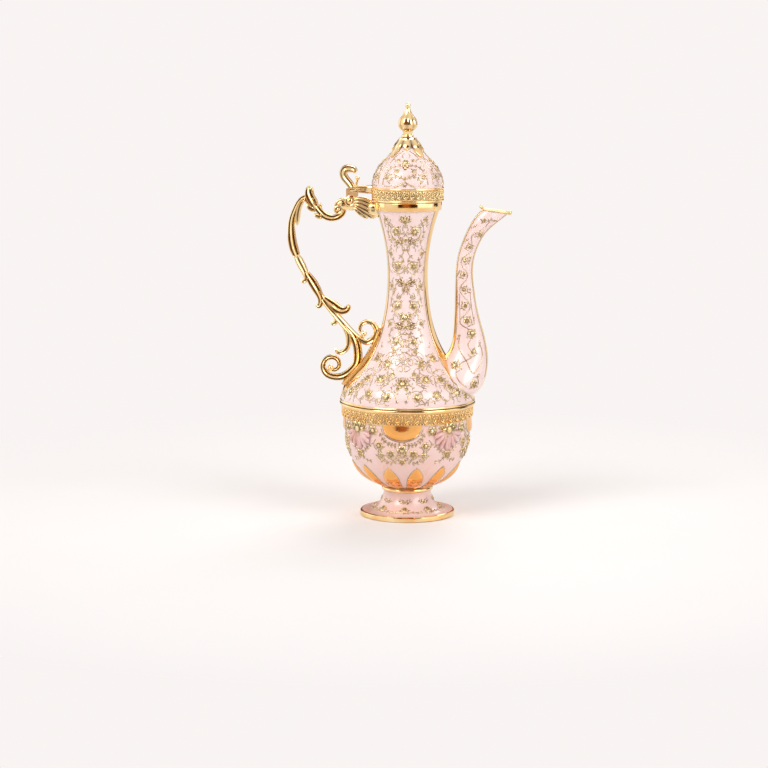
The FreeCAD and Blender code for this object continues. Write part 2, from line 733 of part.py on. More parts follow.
def make_hinge_bracket():
    """Leaf from the neck to the pin, split into two ears for the lid's knuckle."""
    width = size["bracket_width"].value
    span = hinge_x.value + size["neck_top_radius"].value
    slot_floor = size["knuckle_radius"] + size["knuckle_under"]
    spine_down = slot_floor.value - 0.7
    points = [
        from_hinge(8.6, 1.6),
        from_hinge(4.5, spine_down - 0.4),
        from_hinge(0.0, spine_down),
        from_hinge(span * 0.27, spine_down),
        from_hinge(span * 0.6, 4.6),
        from_hinge(span * 0.88, 5.2),
        from_hinge(span * 1.15, 5.6),
    ]
    leaf = shaped("bracket_leaf", stroke(
        points,
        widths=(3.6, 6.4, 7.0, 6.6, 6.0, 8.6, 9.8),
        depths=[width * share for share in (0.8, 1.0, 1.0, 1.0, 1.05, 1.35, 1.5)],
        squareness=4.0))
    eye = cross_cylinder("bracket_eye", size["ear_radius"], size["bracket_width"], hinge_x, hinge_z)
    whole = fused("bracket_whole", [leaf, eye])
    slot_width = size["knuckle_width"] + 2 * size["knuckle_gap"]
    slot = primitive("Box", "bracket_slot", Width=slot_width, Length=5 * size["ear_radius"] + 1.5,
                     Height=4 * size["ear_radius"])
    place(slot, x=hinge_x - 3.2 * size["ear_radius"], y=0 - slot_width / 2, z=hinge_z - slot_floor)
    bore = cross_cylinder("bracket_bore", size["pin_radius"] + size["pin_fit"],
                          2 * size["bracket_width"], hinge_x, hinge_z)
    collar = primitive("Cylinder", "bracket_collar_seat", Radius=size["collar_radius"] + size["solder_gap"],
                       Height=2 * size["collar_height"])
    place(collar, z=neck_z)
    neck = shaped("bracket_neck_seat", curve.solid(size["solder_gap"].value))
    tools = fused("bracket_tools", [slot, bore, collar, neck])
    pieces["hinge_bracket"] = cut("hinge_bracket", whole, tools)


def make_hinge_pin():
    """Pin with two peened heads, turned about its own axis and laid along Y."""
    head = size["pin_head_height"]
    length = size["bracket_width"] + 2 * size["pin_fit"]
    over = length + head
    radius = size["pin_radius"]
    brim = size["pin_head_radius"]
    dome = (brim * brim + head * head) / (2 * head)
    corners = [
        (0, 0),
        (brim, head),
        (radius, head),
        (radius, over),
        (brim, over),
        (0, over + head),
    ]
    body = turned_piece("hinge_pin", corners, arcs={0: (dome, 1), 4: (dome, 1)})
    place(body, x=hinge_x, y=0 - length / 2 - head, z=hinge_z,
          rotation=FreeCAD.Rotation(Vector(1, 0, 0), -90))


# Handle: scrolls drawn on shares, in percent, of the way out to the arch and down to the saddle
def on_handle(across, down):
    foot_z = hinge_z.value - size["handle_drop"].value
    foot_x = -(curve.radius(foot_z) + size["saddle_thickness"].value)
    share = down / 100
    chord = hinge_x.value + (foot_x - hinge_x.value) * share
    return Vector(chord - size["handle_reach"].value * across / 100, 0,
                  hinge_z.value - size["handle_drop"].value * share)


def volute(centre, start_radius, end_radius, start, sweep, steps):
    """Points of a spiral that closes evenly round its centre, angles in degrees."""
    points = []
    for step in range(steps + 1):
        share = step / steps
        angle = math.radians(start + sweep * share)
        radius = start_radius + (end_radius - start_radius) * share
        points.append(centre + Vector(math.cos(angle), 0, math.sin(angle)) * radius)
    return points


SCROLLS = {
    "bar": (((12, 4.4), (13, 6.6), (18.5, 9), (28.5, 10.5), (41, 9.7), (52, 6), (61, 1.2), (71, -3)),
            (4.4, 4.2, 4.0, 4.2, 4.2, 4.0, 3.8, 3.2)),
    "arch": (((66, -3), (79, -1), (89.5, 4.7), (96, 11.7), (98.5, 18.5), (98.3, 25.2), (96, 30.7), (91.3, 35.5)),
             (2.4, 3.6, 4.4, 5.6, 6.2, 6.0, 4.6, 2.8)),
    "second_leaf": (((95, 32.5), (87.7, 38.9), (80.6, 44.7), (79.1, 48), (84, 50), (88, 48.8)),
                    (2.6, 4.6, 4.4, 3.2, 2.6, 1.8)),
    "third_leaf": (((81.7, 42.9), (73.3, 47.7), (65.1, 52.9), (58, 58.4), (56.5, 62.4), (61.3, 65.4), (66.7, 64.4)),
                   (2.8, 4.2, 4.8, 4.4, 3.2, 2.6, 1.8)),
    "branch": (((56, 58.9), (46.5, 61.9), (35.5, 65.2), (24.2, 67.6), (15.3, 66.8), (13, 64.6)),
               (2.2, 3.0, 3.4, 3.4, 2.8, 1.8)),
    "hook": (((31, 72), (21.1, 77.5), (16.1, 83.2), (17.3, 88.8), (25, 92.7), (34.1, 93.7), (39, 92)),
             (2.8, 3.4, 3.4, 3.2, 3.0, 2.6, 1.8)),
    "nib": (((42.4, 66.3), (36, 70.6), (35.5, 74.6), (40.4, 76.2), (42.8, 74.6)),
            (2.4, 3.0, 2.6, 2.0, 1.6)),
    "leaflet": (((74, -2), (83, 3.2), (87.5, 8.7), (90.2, 14.3)),
                (2.0, 3.0, 3.4, 2.2)),
    "bud": (((57, 4.7), (62, -0.5), (65, -5), (62.4, -8.8)),
            (3.4, 5.0, 4.6, 1.6)),
    "bud_side": (((61.8, 2.6), (69.8, -0.8), (75.4, -4)),
                 (3.0, 3.2, 1.6)),
    "bud_low": (((58.5, 4), (66.5, 5.3), (71.5, 4.3)),
                (2.6, 2.6, 1.5)),
    "bud_under": (((50.5, 6.8), (57, 9.2), (61.5, 8.3)),
                  (2.6, 2.4, 1.5)),
    "bud_over": (((54, 5.8), (50.3, 3.8), (49, 2)),
                 (2.6, 2.2, 1.5)),
    "knot": (((13, 5.6), (19, 7.3), (23.4, 6.1)),
             (2.6, 2.4, 1.8)),
}
SPINE = ((62.5, 54.8), (51.5, 62.2), (39.5, 68.2), (27.1, 74), (14.8, 79.3), (3.1, 83.6), (-7.5, 86))
SPINE_WIDTHS = (3.2, 3.4, 3.6, 3.8, 4.2, 4.4, 4.2, 4.0, 3.6, 3.2, 2.8, 2.4)
LOOP = ((21.7, 76.4), (10.2, 81.6), (3.2, 88), (1.8, 94.4), (5.2, 100.5), (18, 105.7), (33.2, 108.5))
LOOP_WIDTHS = (3.0, 3.8, 4.4, 4.6, 4.6, 4.6, 4.4, 4.2, 4.0, 3.6, 3.2, 2.8, 2.4)
UPPER_EYE = (-13.5, 79.2)
LOWER_EYE = (44.5, 101.3)
CURL_END = 0.62


def make_handle():
    """Cast handle of leaves, curls and two volutes in one plane, the pot's most worked piece."""
    depth = size["handle_depth"].value
    upper = volute(on_handle(*UPPER_EYE), size["upper_volute_radius"].value,
                   1.4 * size["volute_eye"].value, -90, 330, 10)
    lower = volute(on_handle(*LOWER_EYE), size["lower_volute_radius"].value,
                   1.2 * size["volute_eye"].value, -90, -400, 12)
    runs = {name: ([on_handle(*point) for point in points], widths) for name, (points, widths) in SCROLLS.items()}
    runs["spine"] = ([on_handle(*point) for point in SPINE] + upper, SPINE_WIDTHS)
    runs["loop"] = ([on_handle(*point) for point in LOOP] + lower, LOOP_WIDTHS)
    scrolls = []
    for name, (points, widths) in runs.items():
        solid = stroke(points, widths, [depth * width for width in widths])
        scrolls.append(shaped(f"handle_{name}", solid))
        ball = size["volute_eye"].value if name in ("spine", "loop") else CURL_END * widths[-1]
        if name != "bar":
            scrolls.append(shaped(f"handle_{name}_end", Part.makeSphere(ball, points[-1])))
    whole = fused("handle_whole", scrolls)
    seat = shaped("handle_seat", curve.solid(size["saddle_thickness"].value))
    trimmed = cut("handle_trimmed", whole, seat)
    pieces["handle"] = cut("handle", trimmed, pieces["hinge_bracket"])


def make_handle_saddle():
    """Strap bent to the body's curve, with round ends."""
    half = size["saddle_half_width"]
    top = waist_z + size["saddle_top"]
    bottom = waist_z + size["saddle_bottom"]
    reach = size["shoulder_radius"] * 2
    strap = primitive("Box", "saddle_strap", Length=reach, Width=2 * half, Height=top - bottom - 2 * half)
    place(strap, x=0 - reach, y=0 - half, z=bottom + half)
    ends = []
    for name, height in (("saddle_end_top", top - half), ("saddle_end_bottom", bottom + half)):
        end = primitive("Cylinder", name, Radius=half, Height=reach)
        place(end, x=0 - reach, z=height, rotation=FreeCAD.Rotation(Vector(0, 1, 0), 90))
        ends.append(end)
    outline = fused("saddle_outline", [strap] + ends)
    skin = cut("saddle_skin", shaped("saddle_outside", curve.solid(size["saddle_thickness"].value)),
               shaped("saddle_inside", curve.solid(size["solder_gap"].value)))
    saddle = doc.addObject("Part::MultiCommon", "handle_saddle")
    saddle.Shapes = [skin, outline]
    pieces["handle_saddle"] = saddle


# Lid
def make_lid_plug():
    low = lid_z - size["plug_depth"]
    high = lid_z + size["plug_rise"]
    inner = plug_radius - size["plug_wall"]
    corners = [(inner, low), (plug_radius, low), (plug_radius, high), (inner, high)]
    turned_piece("lid_plug", corners)


def make_lid_band():
    """Band with a round bead along each edge and a sunk face between them."""
    bore = plug_radius + size["solder_gap"]
    face = size["lid_band_radius"] - size["lid_bead"]
    height = size["lid_bead_height"]
    half = height / 2
    stand = size["lid_bead"]
    bead = (half * half + stand * stand) / (2 * stand)
    corners = [
        (bore, lid_z),
        (face, lid_z),
        (face, lid_z + height),
        (face, dome_z - height),
        (face, dome_z),
        (bore, dome_z),
    ]
    turned_piece("lid_band", corners, arcs={1: (bead, 1), 3: (bead, 1)})


def dome_meeting():
    """Where the dome's round shoulder runs into its straight side."""
    lip = dome_z + size["dome_lip"]
    round_radius = size["dome_round"].value
    centre = Vector(size["dome_radius"].value - round_radius, lip.value, 0)
    top = Vector(size["dome_top_radius"].value, crown_z.value, 0)
    sight = top - centre
    angle = math.atan2(sight.y, sight.x) - math.acos(round_radius / sight.Length)
    return centre + Vector(math.cos(angle), math.sin(angle), 0) * round_radius


def make_lid_dome():
    lip = dome_z + size["dome_lip"]
    meet = dome_meeting()
    corners = [
        (0, dome_z),
        (size["dome_radius"], dome_z),
        (size["dome_radius"], lip),
        (meet.x, meet.y),
        (size["dome_top_radius"], crown_z),
        (0, crown_z),
    ]
    body = new_body("dome_casting")
    section = half_section(body, "dome_section", corners, arcs={2: (size["dome_round"], 1)}, smooth=(2, 3))
    solid = turned(body, "dome_turn", section)
    hollowed(body, "dome_hollow", solid, size["dome_wall"], [dome_z])
    hole = primitive("Cylinder", "dome_screw_hole", Radius=screw_hole, Height=2 * size["dome_height"])
    place(hole, z=dome_z)
    pieces["lid_dome"] = cut("lid_dome", body, hole)


def polar_cut(body, name, sketch, count):
    """Cut a sketch right through along Z, then repeat it round the axis."""
    pocket = body.newObject("PartDesign::Pocket", name)
    pocket.Profile = sketch
    pocket.Type = "ThroughAll"
    pocket.Reversed = True
    before = body.Shape.Volume
    doc.recompute()
    if pocket.Shape.Volume >= before:
        raise RuntimeError(f"{name} cuts nothing")
    pattern = body.newObject("PartDesign::PolarPattern", f"{name}_pattern")
    pattern.Originals = [pocket]
    pattern.Axis = (sketch, ["N_Axis"])
    pattern.Angle = FULL_TURN
    pattern.Occurrences = count
    body.Tip = pattern
    doc.recompute()


def make_finial_cap():
    """Leaf cap that fits over the top of the dome, notched between its leaves."""
    meet = dome_meeting()
    top_radius = size["dome_top_radius"].value
    slope = (meet.x - top_radius) / (crown_z.value - meet.y)
    gap = size["solder_gap"]
    tip_radius = size["cap_radius"].value
    tip_z_value = crown_z.value - (tip_radius - top_radius) / slope
    lift = gap.value * math.hypot(1.0, 1.0 / slope)
    thick = size["cap_thickness"].value
    body = new_body("finial_cap")
    corners = [
        (screw_hole, crown_z + gap),
        (top_radius, crown_z + gap),
        (tip_radius, tip_z_value + lift),
        (tip_radius + thick * 0.4, tip_z_value + lift + thick),
        (size["cap_top_radius"], cap_z),
        (screw_hole, cap_z),
    ]
    sag = 2.2 * size["cap_radius"].value
    section = half_section(body, "cap_section", corners, arcs={3: (sag, -1)})
    turned(body, "cap_turn", section)
    sketch = new_sketch(body, "cap_notch", "XY_Plane")
    outside = 1.4 * tip_radius
    half_angle = math.pi / LEAVES
    deep = tip_radius - size["leaf_notch"].value
    spread = outside * math.tan(half_angle) * 0.75
    notch = [Vector(deep, 0, 0), Vector(outside, -spread, 0), Vector(outside, spread, 0)]
    for index, corner in enumerate(notch):
        sketch.addGeometry(Part.LineSegment(corner, notch[(index + 1) % len(notch)]))
    for index in range(len(notch)):
        sketch.addConstraint(Sketcher.Constraint("Coincident", index, 2, (index + 1) % len(notch), 1))
    tie_point(sketch, 0, 1, (size["cap_radius"] - size["leaf_notch"], 0))
    polar_cut(body, "cap_notches", sketch, LEAVES)
    pieces["finial_cap"] = body


def make_finial_ring():
    half = size["ring_height"] / 2
    corners = [
        (screw_hole, cap_z),
        (size["ring_radius"] - half, cap_z),
        (size["ring_radius"] - half, finial_z),
        (screw_hole, finial_z),
    ]
    turned_piece("finial_ring", corners, arcs={1: (half * 1.1, 1)})


def make_finial():
    """Fluted drop with a ball tip, bored for its screw."""
    height = size["finial_height"]
    widest = size["finial_radius"]
    swell_z = finial_z + height * 0.32
    taper_z = finial_z + height * 0.58
    tip, slim = size["tip_radius"], size["finial_neck_radius"]
    slim_z = tip_z - tip - (tip * tip - slim * slim).root()
    corners = [
        (0, finial_z),
        (size["finial_foot_radius"], finial_z),
        (widest, swell_z),
        (widest * 0.62, taper_z),
        (slim, slim_z),
        (0, tip_z),
    ]
    arcs = {
        1: (widest * 1.15, 1),
        2: (widest * 1.15, 1),
        3: (widest * 2.2, -1),
        4: (tip, 1),
    }
    body = new_body("finial_drop")
    turned(body, "finial_turn", half_section(body, "finial_section", corners, arcs=arcs))
    sketch = new_sketch(body, "finial_flute", "XY_Plane")
    out = widest + size["flute_radius"] - size["flute_depth"]
    circle = sketch.addGeometry(Part.Circle(Vector(out.value, 0, 0), Vector(0, 0, 1), size["flute_radius"].value))
    tie_point(sketch, circle, 3, (out, 0))
    tie = sketch.addConstraint(Sketcher.Constraint("Radius", circle, size["flute_radius"].value))
    sketch.setExpression(f"Constraints[{tie}]", size["flute_radius"].text)
    polar_cut(body, "finial_flutes", sketch, FLUTES)
    bore = primitive("Cylinder", "finial_bore", Radius=screw_hole,
                     Height=size["screw_reach"] + 2 * size["screw_gap"] + size["ring_height"])
    place(bore, z=cap_z)
    pieces["finial"] = cut("finial", body, bore)


def make_finial_screw():
    roof = crown_z - size["dome_wall"]
    seat = roof - size["washer_thickness"]
    head = seat - size["screw_head_height"]
    corners = [
        (0, head),
        (size["screw_head_radius"], head),
        (size["screw_head_radius"], seat),
        (size["screw_radius"], seat),
        (size["screw_radius"], finial_z + size["screw_reach"]),
        (0, finial_z + size["screw_reach"]),
    ]
    turned_piece("finial_screw", corners)
    washer = [(screw_hole, seat), (size["washer_radius"], seat), (size["washer_radius"], roof), (screw_hole, roof)]
    turned_piece("finial_washer", washer)


def make_lid_arm():
    """Arm from the lid's band to the knuckle, with the curl that the thumb presses."""
    width = size["knuckle_width"].value
    reach = size["hinge_reach"].value - size["lid_band_radius"].value
    rise = size["arm_rise"].value
    tall = size["arm_height"].value
    top = size["curl_rise"].value
    arm = shaped("arm_bar", stroke(
        [from_hinge(0.0, -rise), from_hinge(-reach * 0.5, -rise), from_hinge(-reach - 2.5, -rise + 0.6)],
        widths=(tall, tall * 0.9, tall * 1.2),
        depths=(width, width, width * 1.7),
        squareness=4.0))
    curl = shaped("arm_curl", stroke(
        [from_hinge(-1.6, -rise), from_hinge(1.6, -rise - 4.6), from_hinge(4.3, -top + 5.4),
         from_hinge(3.4, -top + 1.7), from_hinge(0.4, -top + 1.2), from_hinge(-3.0, -top + 2.2)],
        widths=(3.6, 3.2, 2.8, 2.6, 2.4, 1.9),
        depths=(width, width * 1.2, width * 1.6, width * 1.9, width * 1.9, width * 1.6),
        squareness=3.0))
    spur = shaped("arm_spur", stroke(
        [from_hinge(-2.0, -rise), from_hinge(-3.9, -rise - 3.2), from_hinge(-4.6, -rise - 6.0)],
        widths=(2.4, 1.8, 1.4), depths=(2.4, 1.8, 1.4)))
    bead = shaped("arm_spur_bead", Part.makeSphere(1.5, from_hinge(-4.7, -rise - 6.8)))
    knuckle = cross_cylinder("arm_knuckle", size["knuckle_radius"], size["knuckle_width"], hinge_x, hinge_z)
    lug = primitive("Box", "arm_lug", Length=2.6 * size["knuckle_radius"], Width=size["knuckle_width"],
                    Height=size["arm_rise"])
    place(lug, x=hinge_x - size["knuckle_radius"] * 0.9, y=0 - size["knuckle_width"] / 2, z=hinge_z)
    whole = fused("arm_whole", [arm, curl, spur, bead, knuckle, lug])
    bore = cross_cylinder("arm_bore", size["pin_radius"] + size["pin_run"], 2 * size["knuckle_width"],
                          hinge_x, hinge_z)
    lid = primitive("Cylinder", "arm_lid_seat", Radius=size["lid_band_radius"] + size["solder_gap"],
                    Height=2 * size["lid_band_height"])
    place(lid, z=mouth_z)
    pieces["lid_arm"] = cut("lid_arm", whole, fused("arm_tools", [bore, lid]))


def make_crystals():
    """Flat-backed stones, one large and two small on the front and on the back."""
    stones = []
    for side in (-1, 1):
        for radius, height, turn in (("stone_radius", "stone_height", 0.0),
                                     ("small_stone_radius", "small_stone_height", -4.0),
                                     ("small_stone_radius", "small_stone_height", 4.0)):
            level = waist_z.value + size[height].value
            out = curve.outwards(level)
            swing = FreeCAD.Rotation(Vector(0, 0, 1), 90.0 * side + turn)
            normal = swing.multVec(Vector(out.x, 0, out.y))
            foot = swing.multVec(Vector(curve.radius(level), 0, level))
            stone = primitive("Cone", f"stone_{len(stones)}", Radius1=size[radius],
                              Radius2=0.6 * size[radius], Height=0.6 * size[radius])
            stone.Placement = FreeCAD.Placement(foot + normal * size["solder_gap"].value,
                                                FreeCAD.Rotation(Vector(0, 0, 1), normal))
            stones.append(stone)
    group = doc.addObject("Part::Compound", "crystals")
    group.Links = stones
    pieces["crystals"] = group


make_base_plate()
make_foot()
make_stem_knop()
make_lower_bowl()
make_waist_band()
make_waist_bead()
spout_passage = make_spout_passage()
make_upper_body(spout_passage)
make_neck_collar()
make_spout(spout_passage)
make_spout_lip()
make_hinge_bracket()
make_hinge_pin()
make_handle_saddle()
make_handle()
make_lid_plug()
make_lid_band()
make_lid_dome()
make_finial_cap()
make_finial_ring()
make_finial()
make_finial_screw()
make_lid_arm()
make_crystals()
doc.recompute()

failed = [item.Name for item in doc.Objects if "Invalid" in item.State or "Error" in item.State]
if failed:
    raise RuntimeError(f"failed: {failed}")
stone_count = len(pieces["crystals"].Links)
for label, piece in pieces.items():
    piece.Label = label
    solids = len(piece.Shape.Solids)
    if piece.Shape.isNull() or not piece.Shape.isValid() or solids != (stone_count if label == "crystals" else 1):
        raise RuntimeError(f"{label} is not a sound piece: {solids} solids")
os.makedirs("parts", exist_ok=True)
for label, piece in pieces.items():
    piece.Shape.exportStep(os.path.join("parts", f"{label}.step"))
print(f"{len(pieces)} pieces")
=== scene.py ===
"""Looks of the enamelled coffee pot: enamel, gold, drawn wire and stones around its CAD frame."""
import math
import random
from bisect import bisect_right

import bmesh
import bpy
from mathutils import Matrix, Vector


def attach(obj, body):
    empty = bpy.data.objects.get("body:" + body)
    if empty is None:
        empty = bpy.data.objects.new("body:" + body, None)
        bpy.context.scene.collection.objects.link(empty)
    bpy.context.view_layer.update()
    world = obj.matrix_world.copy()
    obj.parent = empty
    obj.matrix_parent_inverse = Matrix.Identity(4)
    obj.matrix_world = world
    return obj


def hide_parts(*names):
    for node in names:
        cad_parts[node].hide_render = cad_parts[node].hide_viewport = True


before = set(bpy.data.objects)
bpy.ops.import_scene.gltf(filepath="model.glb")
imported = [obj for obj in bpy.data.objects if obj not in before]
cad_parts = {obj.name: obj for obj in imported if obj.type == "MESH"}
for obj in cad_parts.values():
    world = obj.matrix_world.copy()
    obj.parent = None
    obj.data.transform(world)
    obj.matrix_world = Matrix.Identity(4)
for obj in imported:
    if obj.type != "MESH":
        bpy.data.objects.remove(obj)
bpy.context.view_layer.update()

bl_info = {
    "name": "Enamelled Coffee Pot",
    "version": (1, 0, 0),
    "blender": (4, 5, 0),
    "location": "3D View > Sidebar > Coffee Pot",
    "description": "Dresses the coffee pot's frame in enamel, gold, drawn wire and stones",
    "category": "Object",
}

MM = 0.001
TAU = 2 * math.pi
FRONT = -math.pi / 2
BACK = math.pi / 2
SMOOTH_ANGLE = math.radians(38)
TINY = 1e-6


# Steps, angles and lines
def shares(count):
    """Even steps from 0 to 1."""
    return [step / count for step in range(count + 1)]


def round_angles(count):
    """Even angles of a full turn."""
    return [TAU * step / count for step in range(count)]


def between(low, high, share):
    """The value at a share of the way from low to high."""
    return low + (high - low) * share


def blended(x, low, high):
    """Smooth 0 to 1 as x goes from low to high."""
    share = min(max((x - low) / (high - low), 0.0), 1.0)
    return share * share * (3 - 2 * share)


def along(values, share):
    """Value at a share of the way along evenly spaced values."""
    reach = min(max(share, 0.0), 1.0) * (len(values) - 1)
    index = min(int(reach), len(values) - 2)
    return between(values[index], values[index + 1], reach - index)


def turned(radius, turn, height):
    """Point at a radius and a turn about Z."""
    return Vector((radius * math.cos(turn), radius * math.sin(turn), height))


def upright(points):
    """(x, z) pairs as vectors in the XZ plane."""
    return [Vector((x, 0, z)) for x, z in points]


def running(points):
    """Length along a line up to each of its points."""
    lengths = [0.0]
    for start, end in zip(points, points[1:]):
        lengths.append(lengths[-1] + math.dist(start, end))
    return lengths


def arc(centre, radius, start, end, steps):
    """Points of an arc about centre, angles in degrees."""
    angles = [math.radians(between(start, end, share)) for share in shares(steps)]
    return [(centre[0] + radius * math.cos(angle), centre[1] + radius * math.sin(angle)) for angle in angles]


def bulge(start, end, radius, side, steps=10):
    """Arc between two corners, swelling outwards (1) or hollow (-1)."""
    start, end = Vector(start), Vector(end)
    chord = end - start
    rise = math.sqrt(max(radius ** 2 - (chord.length / 2) ** 2, 0.0))
    centre = start + chord * 0.5 + Vector((-chord.y, chord.x)).normalized() * (side * rise)
    first, last = start - centre, end - centre
    angle = math.degrees(math.atan2(first.y, first.x))
    return arc(centre, radius, angle, angle - math.degrees(first.angle_signed(last)), steps)


def spline(knots, values):
    """A natural cubic through values at knots, as a function."""
    count = len(knots)
    gaps = [after - before for before, after in zip(knots, knots[1:])]
    bends = [0.0] * count
    lower, middle, right = [0.0] * count, [1.0] * count, [0.0] * count
    for i in range(1, count - 1):
        middle[i] = 2 * (knots[i + 1] - knots[i - 1]) - gaps[i - 1] * lower[i - 1]
        lower[i] = gaps[i] / middle[i]
        turn = 3 * ((values[i + 1] - values[i]) / gaps[i] - (values[i] - values[i - 1]) / gaps[i - 1])
        right[i] = (turn - gaps[i - 1] * right[i - 1]) / middle[i]
    for i in range(count - 2, 0, -1):
        bends[i] = right[i] - lower[i] * bends[i + 1]

    def value(x):
        i = min(max(bisect_right(knots, x) - 1, 0), count - 2)
        step = x - knots[i]
        slope = (values[i + 1] - values[i]) / gaps[i] - gaps[i] * (bends[i + 1] + 2 * bends[i]) / 3
        return values[i] + slope * step + bends[i] * step ** 2 + (bends[i + 1] - bends[i]) * step ** 3 / (3 * gaps[i])

    return value


def smooth_path(points, steps):
    """Even points of a smooth curve through points in the XZ plane."""
    knots = running(points)
    x, z = [spline(knots, [point[axis] for point in points]) for axis in (0, 2)]
    return upright([(x(knots[-1] * share), z(knots[-1] * share)) for share in shares(steps)])


# Half-sections, as (radius, height) in millimetres
WAIST_Z = 74.0
SHOULDER_Z = 78.3
NECK_Z = 201.0
MOUTH_Z = 206.4
LID_Z = 206.7
DOME_Z = 216.0
CROWN_Z = 244.0
CAP_Z = 247.2
FINIAL_Z = 249.6
TIP_Z = 270.0
SHOULDER_RADIUS = 43.6
LID_RADIUS = 22.9
CROWN_RADIUS = 5.5
CROWN_SLOPE = 0.884
WALL = 1.8

BODY_ARCS = (
    # top height, centre, arc radius, bulging (1) or hollow (-1)
    (90.0728, (27.6, 78.3), 16.0, 1),
    (130.0, (88.5761, 144.5531), 74.042, -1),
    (158.5, (158.15, 158.5), 145.0, -1),
    (NECK_Z, (135.0306, 158.5), 121.8806, -1),
)


def body_radius(height):
    """Outer radius of the upper body."""
    if height <= SHOULDER_Z:
        return SHOULDER_RADIUS
    for top, centre, radius, side in BODY_ARCS:
        if height <= top or top == NECK_Z:
            return centre[0] + side * math.sqrt(radius ** 2 - (height - centre[1]) ** 2)


def body_outside(steps=84):
    rise = [between(SHOULDER_Z, NECK_Z, share ** 1.25) for share in shares(steps)]
    return [(body_radius(height), height) for height in [WAIST_Z] + rise]


BOWL_CENTRE = (4.11, 54.0)
BOWL_ARC = (-73.4, -4.72)
BOWL_OUTSIDE = ([(14.5, 19.1)] + arc(BOWL_CENTRE, 36.4, *BOWL_ARC, 30)[1:]
                + [(between(40.4, 42.3, share), between(51, WAIST_Z, share)) for share in shares(8)[1:]])
FOOT_FLARE = arc((28.65, 16.5), 13.15, 274.99, 180, 26)


def dome_outside():
    centre, radius = (4.9, 217.5), 18.0
    sight = (CROWN_RADIUS - centre[0], CROWN_Z - centre[1])
    meet = math.degrees(math.atan2(sight[1], sight[0]) - math.acos(radius / math.hypot(*sight)))
    rise = arc(centre, radius, 0, meet, 26)
    last = rise[-1]
    slope = [(between(last[0], CROWN_RADIUS, share), between(last[1], CROWN_Z, share)) for share in shares(10)[1:]]
    return [(LID_RADIUS, DOME_Z)] + rise + slope


class Skin:
    """A turned surface on which ornament is drawn by turn (radians from +X) and length along its half-section."""

    def __init__(self, profile):
        self.profile = profile
        self.lengths = running(profile)

    def place(self, length):
        """Which stretch of the half-section a length falls in, and the share along it."""
        length = min(max(length, 0.0), self.lengths[-1] - TINY)
        index = bisect_right(self.lengths, length) - 1
        return index, (length - self.lengths[index]) / (self.lengths[index + 1] - self.lengths[index])

    def spread(self, length):
        """Local radius: how far a point goes sideways for each radian."""
        index, share = self.place(length)
        return between(self.profile[index][0], self.profile[index + 1][0], share)

    def length_at(self, height):
        for index, (start, end) in enumerate(zip(self.profile, self.profile[1:])):
            low, high = sorted((start[1], end[1]))
            if low <= height <= high and high > low:
                share = (height - start[1]) / (end[1] - start[1])
                return between(self.lengths[index], self.lengths[index + 1], share)
        raise ValueError(f"the surface has no height {height}")

    def tangent(self, index):
        start, end = self.profile[index], self.profile[index + 1]
        size = math.dist(start, end)
        return (end[0] - start[0]) / size, (end[1] - start[1]) / size

    def at(self, turn, length, lift=0.0):
        """Point and outward normal, in millimetres."""
        index, share = self.place(length)
        ends = zip(self.profile[index], self.profile[index + 1])
        radius, height = [between(start, end, share) for start, end in ends]
        neighbour = min(max(index + (1 if share > 0.5 else -1), 0), len(self.profile) - 2)
        slopes = zip(self.tangent(index), self.tangent(neighbour))
        run, rise = [between(here, there, abs(share - 0.5)) for here, there in slopes]
        normal = turned(rise, turn, -run).normalized()
        return turned(radius, turn, height) + normal * lift, normal


SPOUT_STATIONS = (
    # distance outside the shoulder, share of the rise, tilt in degrees, half width, half depth
    (-18.0, 0.076, -24.0, 14.5, 19.0),
    (-10.0, 0.119, -22.0, 14.9, 19.5),
    (-6.0, 0.195, -17.0, 15.0, 14.5),
    (-3.7, 0.284, 0.0, 12.4, 9.8),
    (-4.6, 0.438, 0.0, 8.5, 6.8),
    (-6.4, 0.614, 0.0, 6.2, 5.4),
    (-6.2, 0.734, -4.0, 5.5, 4.9),
    (-3.0, 0.829, -23.0, 5.4, 4.7),
    (4.0, 0.930, -24.0, 6.2, 4.7),
    (13.2, 1.000, -7.5, 8.7, 4.9),
)
SPOUT_RISE = 126.0
SPOUT_WALL = 1.5


class SpoutSkin:
    """The spout's outside, by angle in its oval section and length up its middle line."""

    nudge = 0.01

    def __init__(self, shrink=0.0):
        rows = [(SHOULDER_RADIUS + out, WAIST_Z + SPOUT_RISE * share, math.radians(tilt), wide - shrink, deep - shrink)
                for out, share, tilt, wide, deep in SPOUT_STATIONS]
        self.knots = running([row[:2] for row in rows])
        self.reach = self.knots[-1]
        self.curves = [spline(self.knots, column) for column in zip(*rows)]

    def station(self, length):
        return [curve(length) for curve in self.curves]

    def spread(self, length):
        return self.curves[3](length)

    def point(self, turn, length):
        x, z, lean, wide, deep = self.station(length)
        reach = wide * math.cos(turn)
        return Vector((x + math.cos(lean) * reach, deep * math.sin(turn), z + math.sin(lean) * reach))

    def at(self, turn, length, lift=0.0):
        length = min(max(length, self.nudge), self.reach - self.nudge)
        point = self.point(turn, length)
        sideways = self.point(turn + self.nudge, length) - point
        upwards = self.point(turn, length + self.nudge) - point
        normal = sideways.cross(upwards).normalized()
        return point + normal * lift, normal

    def length_at(self, height):
        low, high = 0.0, self.reach
        for _ in range(40):
            middle = (low + high) / 2
            low, high = (middle, high) if self.curves[1](middle) < height else (low, middle)
        return low


# Meshes
def new_object(name, mesh):
    item = bpy.data.objects.new(name, mesh)
    bpy.context.scene.collection.objects.link(item)
    return item


def new_shell():
    """An empty mesh in the making, and its layer for how deep in a hollow each point lies, 0 to 1, which sets how much
    painted shade the gold gets there.
    """
    shell = bmesh.new()
    return shell, shell.verts.layers.float.new("recess")


